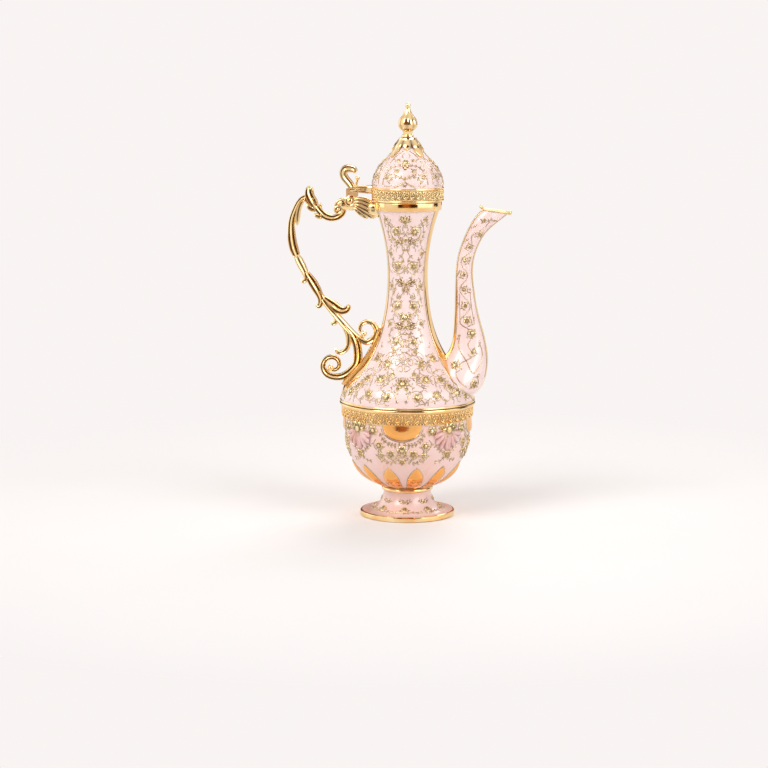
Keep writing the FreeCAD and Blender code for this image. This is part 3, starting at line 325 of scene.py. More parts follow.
def smooth_mesh(name, shell):
    """Close a mesh in the making, its faces outward and smooth."""
    bmesh.ops.recalc_face_normals(shell, faces=shell.faces)
    mesh = bpy.data.meshes.new(name)
    shell.to_mesh(mesh)
    shell.free()
    mesh.shade_smooth()
    return mesh


def finished(name, shell, paints, angle=SMOOTH_ANGLE):
    """Turn a mesh in millimetres into an object in metres with these finishes."""
    mesh = smooth_mesh(name, shell)
    mesh.transform(Matrix.Scale(MM, 4))
    for paint in paints:
        mesh.materials.append(finish(paint))
    mesh.set_sharp_from_angle(angle=angle)
    return new_object(name, mesh)


def fitted(item, body, slot, *nodes):
    """A finished piece rides on its body and stands for these nodes; its slot is not used."""
    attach(item, body)
    if nodes:
        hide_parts(*nodes)
    return item


def lathe(profile, turns, swell=None, finish_of=None, recess_of=None):
    """Turn a closed half-section about Z. A point on the axis is one vertex.

    turns: function of height -> the angles of the columns
    swell: function of (turn, radius, height) -> radius
    finish_of: function of (row, column) -> material index
    recess_of: function of (turn, height) -> how deep in a hollow the point lies, 0 to 1, which sets its painted shade
    """
    shell, recess = new_shell()
    rings = []
    for radius, height in profile:
        if radius < TINY:
            rings.append([shell.verts.new((0, 0, height))])
            continue
        ring = []
        for turn in turns(height):
            reach = swell(turn, radius, height) if swell else radius
            ring.append(shell.verts.new(turned(reach, turn, height)))
            ring[-1][recess] = recess_of(turn, height) if recess_of else 0.0
        rings.append(ring)
    for row, low in enumerate(rings):
        high = rings[(row + 1) % len(rings)]
        columns = max(len(low), len(high))
        if columns == 1:
            continue
        for column in range(columns):
            after = (column + 1) % columns
            corners = [low[column % len(low)], low[after % len(low)], high[after % len(high)], high[column % len(high)]]
            face = shell.faces.new(list(dict.fromkeys(corners)))
            face.material_index = finish_of(row, column) if finish_of else 0
    return shell


FILLET_STEPS = 3


def filleted(corners, radius, steps=FILLET_STEPS):
    """Round every corner of a closed half-section that lies off the axis."""
    points = []
    for index, corner in enumerate(corners):
        here = Vector(corner)
        sides = [Vector(corners[index - 1]) - here, Vector(corners[(index + 1) % len(corners)]) - here]
        if here.x < TINY or min(side.length for side in sides) < TINY:
            points.append(corner)
            continue
        reach = min(radius, *(side.length * 0.4 for side in sides))
        start, end = [here + side.normalized() * reach for side in sides]
        points += [tuple((1 - share) ** 2 * start + 2 * share * (1 - share) * here + share ** 2 * end)
                   for share in shares(steps)]
    return points


def ring_faces(shell, rings, closed=True):
    """Quads between neighbouring rings of vertices."""
    for low, high in zip(rings, rings[1:]):
        for column in range(len(low)):
            after = (column + 1) % len(low)
            shell.faces.new((low[column], low[after], high[after], high[column]))
    if closed:
        shell.faces.new(rings[0][::-1])
        shell.faces.new(rings[-1])


def fan(shell, ring, tip):
    for column, vertex in enumerate(ring):
        shell.faces.new((vertex, ring[(column + 1) % len(ring)], tip))


def ball(shell, layer, centre, radius, recess=0.0, rings=8, columns=14):
    """A closed ball."""
    rows = []
    for row in range(1, rings):
        polar = math.pi * row / rings
        rows.append([shell.verts.new(centre + turned(radius * math.sin(polar), turn, radius * math.cos(polar)))
                     for turn in round_angles(columns)])
        for vertex in rows[-1]:
            vertex[layer] = recess
    ring_faces(shell, rows, closed=False)
    for row, height in ((rows[0], radius), (rows[-1], -radius)):
        fan(shell, row, shell.verts.new(centre + Vector((0, 0, height))))


FLUTE_COLUMNS = 32
SCROLL_ROWS = 8  # from one point to the next
TIP_ROWS = 3.0
LEAST_TIP = 0.06
FADE_ROWS = 4.0
# Middles and width of the flutes on a face, as shares of its half width
ONE_FLUTE = (0.0,), 0.34
TWO_FLUTES = (-0.42, 0.42), 0.2


def swelled(value, power):
    """A sine or cosine with its curve made fuller."""
    return math.copysign(abs(value) ** power, value)


def fluted_scroll(shell, layer, points, widths, depth, grooves=1, aside=0.0, flute=0.5):
    """A tapering cast scroll with sunk flutes along each face, its ends drawn to a rounded point."""
    steps = SCROLL_ROWS * (len(points) - 1)
    path = smooth_path(points, steps)
    lines, narrow = ONE_FLUTE if grooves == 1 else TWO_FLUTES
    rings = []
    for index, centre in enumerate(path):
        share = index / steps
        heading = (path[min(index + 1, steps)] - path[max(index - 1, 0)]).normalized()
        across = Vector((heading.z, 0, -heading.x))
        to_end = min(share, 1 - share) * steps
        half = along(widths, share) / 2 * min(1.0, math.sqrt(max(to_end / TIP_ROWS, LEAST_TIP)))
        fade = min(1.0, to_end / FADE_ROWS)
        ring = []
        for turn in round_angles(FLUTE_COLUMNS):
            side = swelled(math.cos(turn), 0.85)
            hollow = fade * sum(math.exp(-((math.cos(turn) - line) / narrow) ** 2) for line in lines)
            level = swelled(math.sin(turn), 0.8) * (1 - flute * hollow)
            vertex = shell.verts.new(centre + across * (half * side) + Vector((0, aside + half * depth * level, 0)))
            # Painted shade: each point is darkened as deep as it lies in a flute
            vertex[layer] = min(1.0, hollow)
            ring.append(vertex)
        rings.append(ring)
    ring_faces(shell, rings)


# Ornament: drawn wire and set forms
SHADE_LINE_DROP = 1.3  # of the brown line of painted shade under each wire, like its radius, in radii of the wire
SHADE_LINE_RADIUS = 1.9
HEADING_STEP = 0.2
UPWARDS = 90.0


class Ornament:
    """The wires, the brown lines of painted shade along them and the places of the set forms on one body."""

    def __init__(self):
        self.lines = []
        self.wire_shades = []
        self.marks = {}

    def draw(self, skin, path, wire, lift, taper=0.0):
        """A wire along (turn, length) pairs, thinner towards its end by taper, over a wider brown line of painted
        shade.
        """
        line, wire_shade = [], []
        for index, (turn, length) in enumerate(path):
            point, normal = skin.at(turn, length, lift)
            radius = wire * (1 - taper * index / max(len(path) - 1, 1))
            line.append((point, radius))
            wire_shade.append((point - normal * (SHADE_LINE_DROP * radius), SHADE_LINE_RADIUS * radius))
        self.lines.append(line)
        self.wire_shades.append(wire_shade)

    def mark(self, shape, skin, turn, length, size, heading=UPWARDS, lift=0.0):
        """Set a form on the surface, its own +X along the heading (0 sideways, 90 up)."""
        point, normal = skin.at(turn, length, lift)
        angle = math.radians(heading)
        aside, onwards = HEADING_STEP * math.cos(angle), HEADING_STEP * math.sin(angle)
        ahead, _ = skin.at(turn + aside / skin.spread(length), length + onwards, lift)
        self.marks.setdefault(shape, []).append((point, normal, (ahead - point).normalized(), size))


SCROLL_STEP = 0.55


def scroll(skin, turn, length, heading, reach, start_bend, end_bend):
    """Path that starts at a place with a heading in degrees and bends more (or less) as it goes.

    The bends are in radians for each millimetre.
    """
    path = [(turn, length)]
    angle = math.radians(heading)
    count = max(int(reach / SCROLL_STEP), 3)
    for index in range(count):
        angle += between(start_bend, end_bend, index / count) * reach / count
        turn += math.cos(angle) * reach / count / skin.spread(length)
        length += math.sin(angle) * reach / count
        path.append((turn, length))
    return path


# Nodes
def feed(tree, item, inputs):
    """Give a node's inputs, by name or number, sockets or constants."""
    for name, value in inputs.items():
        if isinstance(value, bpy.types.NodeSocket):
            tree.links.new(value, item.inputs[name])
        else:
            item.inputs[name].default_value = value
    return item


def node(tree, kind, inputs, **settings):
    """The outputs of a new node with these settings and inputs."""
    item = tree.nodes.new(kind)
    for name, value in settings.items():
        setattr(item, name, value)
    return feed(tree, item, inputs).outputs


def mixed(tree, share, low, high):
    """Colour between two colours or colour sockets, by a share socket."""
    low, high = [tone if isinstance(tone, bpy.types.NodeSocket) else (*tone, 1.0) for tone in (low, high)]
    return node(tree, "ShaderNodeMix", {0: share, 6: low, 7: high}, data_type="RGBA")[2]


def ranged(tree, value, low, high, start=0.0, end=1.0):
    """A socket's value moved from start..end to low..high."""
    return node(tree, "ShaderNodeMapRange", {
        "Value": value, "From Min": start, "From Max": end, "To Min": low, "To Max": high})["Result"]


def worked(tree, operation, *values):
    """Result of a maths node on sockets or numbers."""
    return node(tree, "ShaderNodeMath", dict(enumerate(values)), operation=operation)[0]


def blended_shader(tree, share, first, second):
    return node(tree, "ShaderNodeMixShader", {0: share, 1: first, 2: second})[0]


def new_tree(kind, name, inputs, outputs):
    """A node group with (name, type, default) sockets, what it is given, and its output node."""
    tree = bpy.data.node_groups.new(name, kind)
    for side, sockets in (("INPUT", inputs), ("OUTPUT", outputs)):
        for label, socket, *default in sockets:
            made = tree.interface.new_socket(name=label, in_out=side, socket_type=f"NodeSocket{socket}")
            if default:
                made.default_value = default[0]
    return tree, tree.nodes.new("NodeGroupInput").outputs, tree.nodes.new("NodeGroupOutput")


# Finishes
def cloud_group():
    """Soft cloudy mask, for tone that drifts over a surface."""
    tree, given, result = new_tree(
        "ShaderNodeTree", "Cloudy tone", [("Vector", "Vector"), ("Scale", "Float", 60.0)], [("Mask", "Float")])
    noise = node(tree, "ShaderNodeTexNoise", {"Vector": given["Vector"], "Scale": given["Scale"], "Detail": 3.0})
    feed(tree, result, {"Mask": ranged(tree, noise["Fac"], 0.0, 1.0, 0.34, 0.66)})
    return tree


def polish_group():
    """Hairlines and smudges that polishing leaves: a mask for gloss and a height for bump."""
    tree, given, result = new_tree(
        "ShaderNodeTree", "Polishing marks",
        [("Vector", "Vector"), ("Scale", "Float", 300.0), ("Stretch", "Vector", (1.0, 1.0, 8.0))],
        [("Smudge", "Float"), ("Height", "Float")])
    drawn = node(tree, "ShaderNodeVectorMath", {0: given["Vector"], 1: given["Stretch"]}, operation="MULTIPLY")
    hair = node(tree, "ShaderNodeTexNoise", {"Vector": drawn["Vector"], "Scale": given["Scale"], "Detail": 4.0})
    smudge = node(tree, "ShaderNodeTexNoise", {"Vector": given["Vector"], "Scale": 90.0, "Detail": 5.0})
    feed(tree, result, {"Smudge": ranged(tree, smudge["Fac"], 0.0, 1.0, 0.35, 0.7), "Height": hair["Fac"]})
    return tree


def placed_group(tree, group, **inputs):
    return node(tree, "ShaderNodeGroup", inputs, node_tree=group)


def bumped(tree, height, strength, distance):
    return node(tree, "ShaderNodeBump", {"Strength": strength, "Distance": distance, "Height": height})["Normal"]


def new_finish(name):
    """A material, its tree, its shader and the object's coordinates."""
    material = bpy.data.materials.new(name)
    material.use_nodes = True
    tree = material.node_tree
    place = tree.nodes.new("ShaderNodeTexCoord").outputs["Object"]
    return material, tree, tree.nodes["Principled BSDF"], place


def enamel_finish(name, groups, tone, deep, roughness):
    """Fired enamel: cloudy colour under a clear gloss, with a faint ripple."""
    material, tree, shader, place = new_finish(name)
    cloud = placed_group(tree, groups["cloud"], Vector=place, Scale=55.0)["Mask"]
    speck = placed_group(tree, groups["cloud"], Vector=place, Scale=900.0)["Mask"]
    ripple = placed_group(tree, groups["polish"], Vector=place, Scale=420.0, Stretch=(1.0, 1.0, 1.0))["Height"]
    share = worked(tree, "MULTIPLY_ADD", speck, 0.25, worked(tree, "MULTIPLY", cloud, 0.75))
    feed(tree, shader, {
        "Base Color": mixed(tree, share, tone, deep),
        "Roughness": ranged(tree, cloud, roughness * 0.8, roughness * 1.25),
        "Coat Weight": 0.7, "Coat Roughness": 0.05, "Normal": bumped(tree, ripple, 0.12, 0.0002)})
    return material


def gold_finish(name, groups, tone, deep, hollow_shade, roughness, stretch, hairline):
    """Polished gold: drifting tone, smudged gloss, hairlines, and painted shade, dark brown in hollows as deep as the
    recess layer says.
    """
    material, tree, shader, place = new_finish(name)
    cloud = placed_group(tree, groups["cloud"], Vector=place, Scale=70.0)["Mask"]
    marks = placed_group(tree, groups["polish"], Vector=place, Scale=380.0, Stretch=(1.0, 1.0, stretch))
    hollow = node(tree, "ShaderNodeAttribute", {}, attribute_name="recess")["Fac"]
    # Painted shade: the recess layer, a little broken by smudges, darkens the gold towards the hollow shade colour
    shade_share = worked(tree, "MULTIPLY", hollow, ranged(tree, marks["Smudge"], 0.75, 1.0))
    gloss = ranged(tree, marks["Smudge"], roughness * 0.6, roughness * 1.5)
    feed(tree, shader, {
        "Base Color": mixed(tree, shade_share, mixed(tree, cloud, tone, deep), hollow_shade),
        "Roughness": worked(tree, "MULTIPLY_ADD", shade_share, 0.18, gloss),
        "Metallic": 1.0, "Normal": bumped(tree, marks["Height"], hairline, 0.0001)})
    return material


def steel_finish(name, groups):
    material, tree, shader, place = new_finish(name)
    marks = placed_group(tree, groups["polish"], Vector=place, Scale=500.0, Stretch=(1.0, 1.0, 6.0))
    feed(tree, shader, {
        "Base Color": mixed(tree, marks["Smudge"], (0.62, 0.62, 0.63), (0.46, 0.46, 0.47)),
        "Roughness": ranged(tree, marks["Smudge"], 0.24, 0.42),
        "Metallic": 1.0, "Normal": bumped(tree, marks["Height"], 0.2, 0.0001)})
    return material


def stone_finish(name, groups):
    """Foiled cut glass: bright facets over a smoky silver back."""
    material, tree, shader, place = new_finish(name)
    cloud = placed_group(tree, groups["cloud"], Vector=place, Scale=1400.0)["Mask"]
    feed(tree, shader, {
        "Base Color": mixed(tree, cloud, (0.90, 0.88, 0.86), (0.30, 0.22, 0.19)),
        "Roughness": ranged(tree, cloud, 0.02, 0.08),
        "Metallic": 0.85, "Coat Weight": 1.0, "Coat Roughness": 0.01})
    return material


def mean(first, second):
    return tuple((a + b) / 2 for a, b in zip(first, second))


finishes = {}


def finish(name):
    """A finish by name; all are made on first use from the sidebar's colours."""
    if not finishes:
        look = bpy.context.scene.pot_finish
        groups = {"cloud": cloud_group(), "polish": polish_group()}
        for key, label, tone, deep in (
                ("enamel", "pink_enamel", look.pink, look.blush), ("bowl", "warm_enamel", look.reflected_glow_pink, look.blush),
                ("wire_shade", "outline_enamel", look.wire_shade, look.hollow_shade), ("petal", "rose_enamel", look.rose, look.blush)):
            finishes[key] = enamel_finish(label, groups, tone, deep, look.enamel_roughness)
        for key, label, tone, deep, dulled, stretch, hairline in (
                ("turned", "turned_gold", look.gold, look.amber, 1.0, 9.0, 0.1),
                ("cast", "cast_gold", look.gold, mean(look.gold, look.amber), 1.2, 1.0, 0.1),
                ("chased", "chased_gold", look.gold, look.amber, 2.2, 2.0, 0.3),
                ("wire", "drawn_gold", look.wire, mean(look.wire, look.wire_shade), 2.0, 1.0, 0.2),
                ("blossom", "blossom_gold", look.blossom, mean(look.blossom, look.amber), 3.4, 1.0, 0.2),
                ("amber", "amber_gold", mean(look.gold, look.amber), look.amber, 1.0, 6.0, 0.1),
                ("deep", "deep_gold", mean(look.amber, look.tray_reflection), look.tray_reflection, 1.0, 6.0, 0.1)):
            finishes[key] = gold_finish(label, groups, tone, deep, look.hollow_shade, look.gold_roughness * dulled,
                                        stretch, hairline)
        finishes["steel"] = steel_finish("screw_steel", groups)
        finishes["stone"] = stone_finish("cut_stone", groups)
    return finishes[name]


# Node trees for what repeats or follows a path
def geometry_tree(name, *inputs):
    return new_tree("GeometryNodeTree", name, [("Geometry", "Geometry"), *inputs, ("Material", "Material")],
                    [("Geometry", "Geometry")])


def closed_tree(tree, given, result, geometry):
    """Every tree ends in real geometry with its material."""
    real = node(tree, "GeometryNodeRealizeInstances", {"Geometry": geometry})
    paint = node(tree, "GeometryNodeSetMaterial", {"Geometry": real["Geometry"], "Material": given["Material"]})
    feed(tree, result, {"Geometry": paint["Geometry"]})
    return tree


def attribute(tree, name, kind):
    return node(tree, "GeometryNodeInputNamedAttribute", {"Name": name}, data_type=kind)["Attribute"]


def wire_tree():
    """Round wire along the edges of a mesh, as thick as the points' own attribute says."""
    tree, given, result = geometry_tree("Drawn wire", ("Thickness", "Float", 1.0), ("Sides", "Int", 6))
    path = node(tree, "GeometryNodeMeshToCurve", {"Mesh": given["Geometry"]})
    ring = node(tree, "GeometryNodeCurvePrimitiveCircle", {"Resolution": given["Sides"], "Radius": 1.0})
    thickness = worked(tree, "MULTIPLY", attribute(tree, "wire", "FLOAT"), given["Thickness"])
    sweep = node(tree, "GeometryNodeCurveToMesh", {
        "Curve": path["Curve"], "Profile Curve": ring["Curve"], "Scale": thickness, "Fill Caps": True})
    smooth = node(tree, "GeometryNodeSetShadeSmooth", {"Geometry": sweep["Mesh"]})
    return closed_tree(tree, given, result, smooth["Geometry"])


def setting_tree():
    """A form set on each point, standing along the point's normal and pointing along its heading."""
    tree, given, result = geometry_tree("Set forms", ("Form", "Object"), ("Size", "Float", 1.0))
    pattern = node(tree, "GeometryNodeObjectInfo", {"Object": given["Form"], "As Instance": True})
    turn = node(tree, "FunctionNodeAxesToRotation", {
        "Primary Axis": attribute(tree, "out", "FLOAT_VECTOR"),
        "Secondary Axis": attribute(tree, "ahead", "FLOAT_VECTOR")}, primary_axis="Z", secondary_axis="X")
    size = worked(tree, "MULTIPLY", attribute(tree, "size", "FLOAT"), given["Size"])
    place = node(tree, "GeometryNodeInstanceOnPoints", {
        "Points": given["Geometry"], "Instance": pattern["Geometry"], "Rotation": turn["Rotation"], "Scale": size})
    return closed_tree(tree, given, result, place["Instances"])


trees = {}


def node_tree(name):
    if not trees:
        trees["wire"] = wire_tree()
        trees["setting"] = setting_tree()
    return trees[name]


def grown(name, mesh, tree, values):
    """Run a tree on a mesh and keep the result as an object with a plain mesh."""
    item = new_object(name, mesh)
    modifier = item.modifiers.new(tree.name, "NODES")
    modifier.node_group = tree
    for socket in tree.interface.items_tree:
        if socket.item_type == "SOCKET" and socket.in_out == "INPUT" and socket.name in values:
            modifier[socket.identifier] = values[socket.name]
    bpy.context.view_layer.update()
    plain = bpy.data.meshes.new_from_object(item.evaluated_get(bpy.context.evaluated_depsgraph_get()))
    if not plain.polygons:
        raise RuntimeError(f"{name} came out empty")
    item.modifiers.clear()
    item.data = plain
    plain.name = name
    return item


def wire_piece(name, lines, paint):
    """All lines of one body as one piece."""
    points, edges, thickness = [], [], []
    for line in lines:
        edges += [(index, index + 1) for index in range(len(points), len(points) + len(line) - 1)]
        points += [point * MM for point, _ in line]
        thickness += [wire * MM for _, wire in line]
    mesh = bpy.data.meshes.new(name)
    mesh.from_pydata(points, edges, [])
    mesh.attributes.new("wire", "FLOAT", "POINT").data.foreach_set("value", thickness)
    return grown(name, mesh, node_tree("wire"), {"Material": finish(paint), "Sides": 6})


def set_piece(name, shape, marks, paint):
    """One form on all its places of one body, as one piece."""
    mesh = bpy.data.meshes.new(name)
    points, normals, headings, sizes = zip(*marks)
    mesh.from_pydata([point * MM for point in points], [], [])
    for label, vectors in (("out", normals), ("ahead", headings)):
        layer = mesh.attributes.new(label, "FLOAT_VECTOR", "POINT")
        layer.data.foreach_set("vector", [part for vector in vectors for part in vector])
    mesh.attributes.new("size", "FLOAT", "POINT").data.foreach_set("value", [size * MM for size in sizes])
    return grown(name, mesh, node_tree("setting"), {"Material": finish(paint), "Form": form(shape)})


# Small forms, a unit across or long, lying on the XY plane and standing along +Z
PETAL_COLUMNS = 4


def polar_form(petals, rows):
    """A round form of a few rows (radius, height, how lobed, recess) with rounded petals; recess, and more of it in the
    notches between petals, is painted shade.
    """
    shell, layer = new_shell()
    rings = []
    for radius, height, lobed, recess in rows:
        ring = []
        for column, turn in enumerate(round_angles(PETAL_COLUMNS * petals)):
            notch = lobed * (1 - abs(math.sin(math.pi * column / PETAL_COLUMNS)) ** 0.6)
            ring.append(shell.verts.new(turned(radius * (1 - notch), turn, height * (1 - 0.5 * notch))))
            ring[-1][layer] = min(1.0, recess + 0.7 * notch)
        rings.append(ring)
    ring_faces(shell, rings, closed=False)
    shell.faces.new(rings[0])
    top = shell.verts.new((0, 0, rows[-1][1] * 1.08))
    top[layer] = rows[-1][3]
    fan(shell, rings[-1], top)
    return shell


def leaf_form(stations, lift, edge_shade):
    """A leaf along +X with a raised rib and a flat back: stations of (x, half width)."""
    shell, layer = new_shell()
    left, rib, right = [], [], []
    for x, half in stations:
        rise = lift * math.sin(math.pi * min(max(x, 0.06), 0.94))
        left.append(shell.verts.new((x, half, 0.0)))
        right.append(shell.verts.new((x, -half, 0.0)))
        rib.append(shell.verts.new((x, 0, rise + 0.02)))
        # Painted shade along the leaf's edges
        left[-1][layer] = right[-1][layer] = edge_shade
    for i in range(len(stations) - 1):
        shell.faces.new((left[i], rib[i], rib[i + 1], left[i + 1]))
        shell.faces.new((rib[i], right[i], right[i + 1], rib[i + 1]))
    shell.faces.new(left + right[::-1])
    shell.faces.new((left[0], right[0], rib[0]))
    shell.faces.new((left[-1], rib[-1], right[-1]))
    return shell


def curl_form(reach, start_bend, end_bend, thick, steps=13):
    """A flat C-curl of four-sided wire along +X, for the bands."""
    shell, _ = new_shell()
    centre, angle = Vector((0, 0, 0)), math.radians(60)
    rings = []
    for share in shares(steps):
        half = thick * (1.0 - 0.45 * share)
        side = Vector((-math.sin(angle), math.cos(angle), 0))
        rings.append([shell.verts.new(centre + side * (half * across) + Vector((0, 0, half * up)))
                      for across, up in ((-1, 0), (0, 1), (1, 0), (0, -1))])
        angle += between(start_bend, end_bend, share) * reach / steps
        centre = centre + turned(reach / steps, angle, 0)
    ring_faces(shell, rings)
    return shell


def bead_form():
    shell, layer = new_shell()
    ball(shell, layer, Vector((0, 0, 0)), 1.0, rings=5, columns=8)
    return shell


# Rows of (radius, height, how lobed, recess); recess is painted shade, most in the hollow round the boss
ROSETTE = ((1.0, -0.1, 0.58, 0.3), (0.9, 0.22, 0.58, 0.0), (0.42, 0.13, 0.2, 1.0), (0.26, 0.27, 0.0, 0.1))
DAISY = ((1.0, -0.1, 0.64, 0.2), (0.9, 0.2, 0.64, 0.0), (0.38, 0.12, 0.2, 0.9), (0.2, 0.2, 0.0, 0.5))
LEAF = ((0.0, 0.05), (0.18, 0.2), (0.42, 0.27), (0.7, 0.18), (1.0, 0.02))
PETAL = ((0.0, 0.06), (0.2, 0.12), (0.5, 0.19), (0.8, 0.21), (0.95, 0.13), (1.0, 0.05))
forms = {}


def form(name):
    """A form by name; all are made on first use."""
    if not forms:
        shells = {
            "rosette": polar_form(6, ROSETTE), "daisy": polar_form(5, DAISY), "leaf": leaf_form(LEAF, 0.16, 0.5),
            "petal": leaf_form(PETAL, 0.13, 0.0), "curl": curl_form(2.3, 0.2, 5.2, 0.16), "bead": bead_form()}
        for label, shell in shells.items():
            forms[label] = new_object(f"form_{label}", smooth_mesh(f"form_{label}", shell))
    return forms[name]


def clear_forms():
    """The forms are only patterns: they leave the scene once everything is set."""
    for item in forms.values():
        mesh = item.data
        bpy.data.objects.remove(item)
        bpy.data.meshes.remove(mesh)
    forms.clear()


# Sections of the turned pieces
SEAMS = (
    # height, half width in degrees
    (77.0, 6.0), (80.5, 14.0), (84.0, 25.5), (88.0, 30.5), (93.0, 32.5), (102.0, 31.0), (112.0, 29.0),
    (150.0, 31.0), (196.0, 27.0),
)
BAND_COLUMNS = 28
PANEL_COLUMNS = 72


def seam(height):
    """Half width, as an angle from the spout and from the handle, of the body's two gold side bands."""
    for (low, first), (high, last) in zip(SEAMS, SEAMS[1:]):
        if height < high:
            return math.radians(between(first, last, blended(height, low, high)))
    return math.radians(SEAMS[-1][1])


def striped_turns(first, second, counts):
    """Columns that follow a stripe about +X, a stripe about -X and the panels between, counts for each stretch."""
    edges = (-first, first, math.pi - second, math.pi + second, TAU - first)
    return [between(start, end, step / count)
            for start, end, count in zip(edges, edges[1:], counts) for step in range(count)]


def body_turns(height):
    return striped_turns(seam(height), seam(height), (BAND_COLUMNS, PANEL_COLUMNS, BAND_COLUMNS, PANEL_COLUMNS))


BODY_ROWS = len(body_outside()) - 1


def body_finish(row, column):
    in_band = column % (BAND_COLUMNS + PANEL_COLUMNS) < BAND_COLUMNS
    return 0 if row < BODY_ROWS and not in_band else 1


def enamel_up_to(rows):
    """Enamel on the first rows of a section, gold on the rest."""
    return lambda row, column: 0 if row < rows else 1


def sunk(depth, low, high):
    """Painted shade of this depth between two heights."""
    return lambda turn, height: depth if low < height < high else 0.0


def rolled(radius, low, high, round_radius, inner):
    """A ring with a rounded outside."""
    return bulge((radius, low), (radius, high), round_radius, 1) + [(inner, high), (inner, low)]


def foot_section():
    rim = filleted([(31.0, 3.3), (31.0, 0.0), (26.05, 0.0), (26.05, 2.4)], 0.8)
    del rim[-FILLET_STEPS - 1:]  # the corner inside the foot stays sharp
    inside = [(26.05, 2.4), (23.68, 2.4), (18.0, 7.6), (14.6, 12.0), (13.81, 14.7), (0, 14.7), (0, 16.5)]
    return FOOT_FLARE[::-1] + rim + inside


def bowl_section():
    rim = [(41.65, 74.0), (41.65, 77.0), (40.05, 77.0), (40.05, 71.0), (38.6, 51.2)]
    return BOWL_OUTSIDE + rim + arc(BOWL_CENTRE, 34.6, *BOWL_ARC[::-1], 16) + [(0, 20.9), (0, 19.1)]


def waist_bead_section():
    return (bulge((43.87, 73.4), (43.87, 75.8), 1.35, 1) + bulge((43.9, 75.8), (43.9, 77.2), 0.85, 1)
            + [(43.65, 77.2), (43.65, 73.4)])


def body_section():
    outside = body_outside()
    inside = [(radius - WALL, height) for radius, height in outside[::5]]
    if inside[-1][1] < NECK_Z:
        inside.append((outside[-1][0] - WALL, NECK_Z))
    return outside + inside[::-1]


BEAD_ROWS = 8
BEAD_HEIGHT = 1.5


def lid_band_section():
    beads = [bulge((LID_RADIUS, low), (LID_RADIUS, low + BEAD_HEIGHT), 0.8125, 1, BEAD_ROWS)
             for low in (LID_Z, DOME_Z - BEAD_HEIGHT)]
    return beads[0] + beads[1] + [(18.55, DOME_Z), (18.55, LID_Z)]


def dome_section():
    outside, ceiling, bore = dome_outside(), 242.4, 1.55
    inside = [(max(radius - 1.75, 4.2), min(height, ceiling)) for radius, height in outside[::4]]
    return outside + [(bore, CROWN_Z), (bore, ceiling)] + inside[::-1]


def finial_section():
    swell = bulge((2.9, FINIAL_Z), (3.9, 252.2), 6.0, -1, 6) + bulge((3.9, 252.2), (6.4, 256.13), 4.4, 1)[1:]
    taper = bulge((6.4, 256.13), (3.97, 261.43), 7.36, 1)
    waist = bulge((3.97, 261.43), (1.5, 266.31), 14.08, -1)
    tip = arc((0, TIP_Z - 1.75), 1.75, -38.0, 90, 10)
    return swell + taper[1:] + waist[1:] + tip[1:-1] + [(0, TIP_Z), (0, FINIAL_Z)]


FLUTES = 8


def flute_share(turn, height):
    """How deep in a flute of the finial a point lies, 0 to 1; it sinks the flutes and sets their painted shade."""
    zone = blended(height, FINIAL_Z + 0.8, FINIAL_Z + 4.0) * (1 - blended(height, 259.0, 264.5))
    return zone * (0.5 + 0.5 * math.cos(FLUTES * turn)) ** 1.5


BAND_LOW = 65.6
BAND_HIGH = 73.4
BAND_BORDER = 0.7
BAND_ROOM = 0.05
BAND_RIM = 0.95
BAND_FACE = 0.7


def band_side(height):
    """Radius of the bowl under the waist band."""
    return 42.3 - 1.9 / 23.0 * (WAIST_Z - height)


def waist_band_section():
    low, high = BAND_LOW + BAND_BORDER, BAND_HIGH - BAND_BORDER
    corners = [(BAND_LOW, BAND_RIM), (low, BAND_RIM), (low, BAND_FACE), (high, BAND_FACE), (high, BAND_RIM),
               (BAND_HIGH, BAND_RIM), (BAND_HIGH, 0.0), (BAND_LOW, 0.0)]
    return filleted([(band_side(height) + BAND_ROOM + stand, height) for height, stand in corners], 0.16, 2)


def collar_section():
    return filleted([(19.0, NECK_Z), (22.1, NECK_Z), (22.1, MOUTH_Z), (19.0, MOUTH_Z)], 0.55)


def colour(name, description, default):
    return bpy.props.FloatVectorProperty(
        name=name, description=description, subtype="COLOR", size=3, min=0, max=1, default=default)


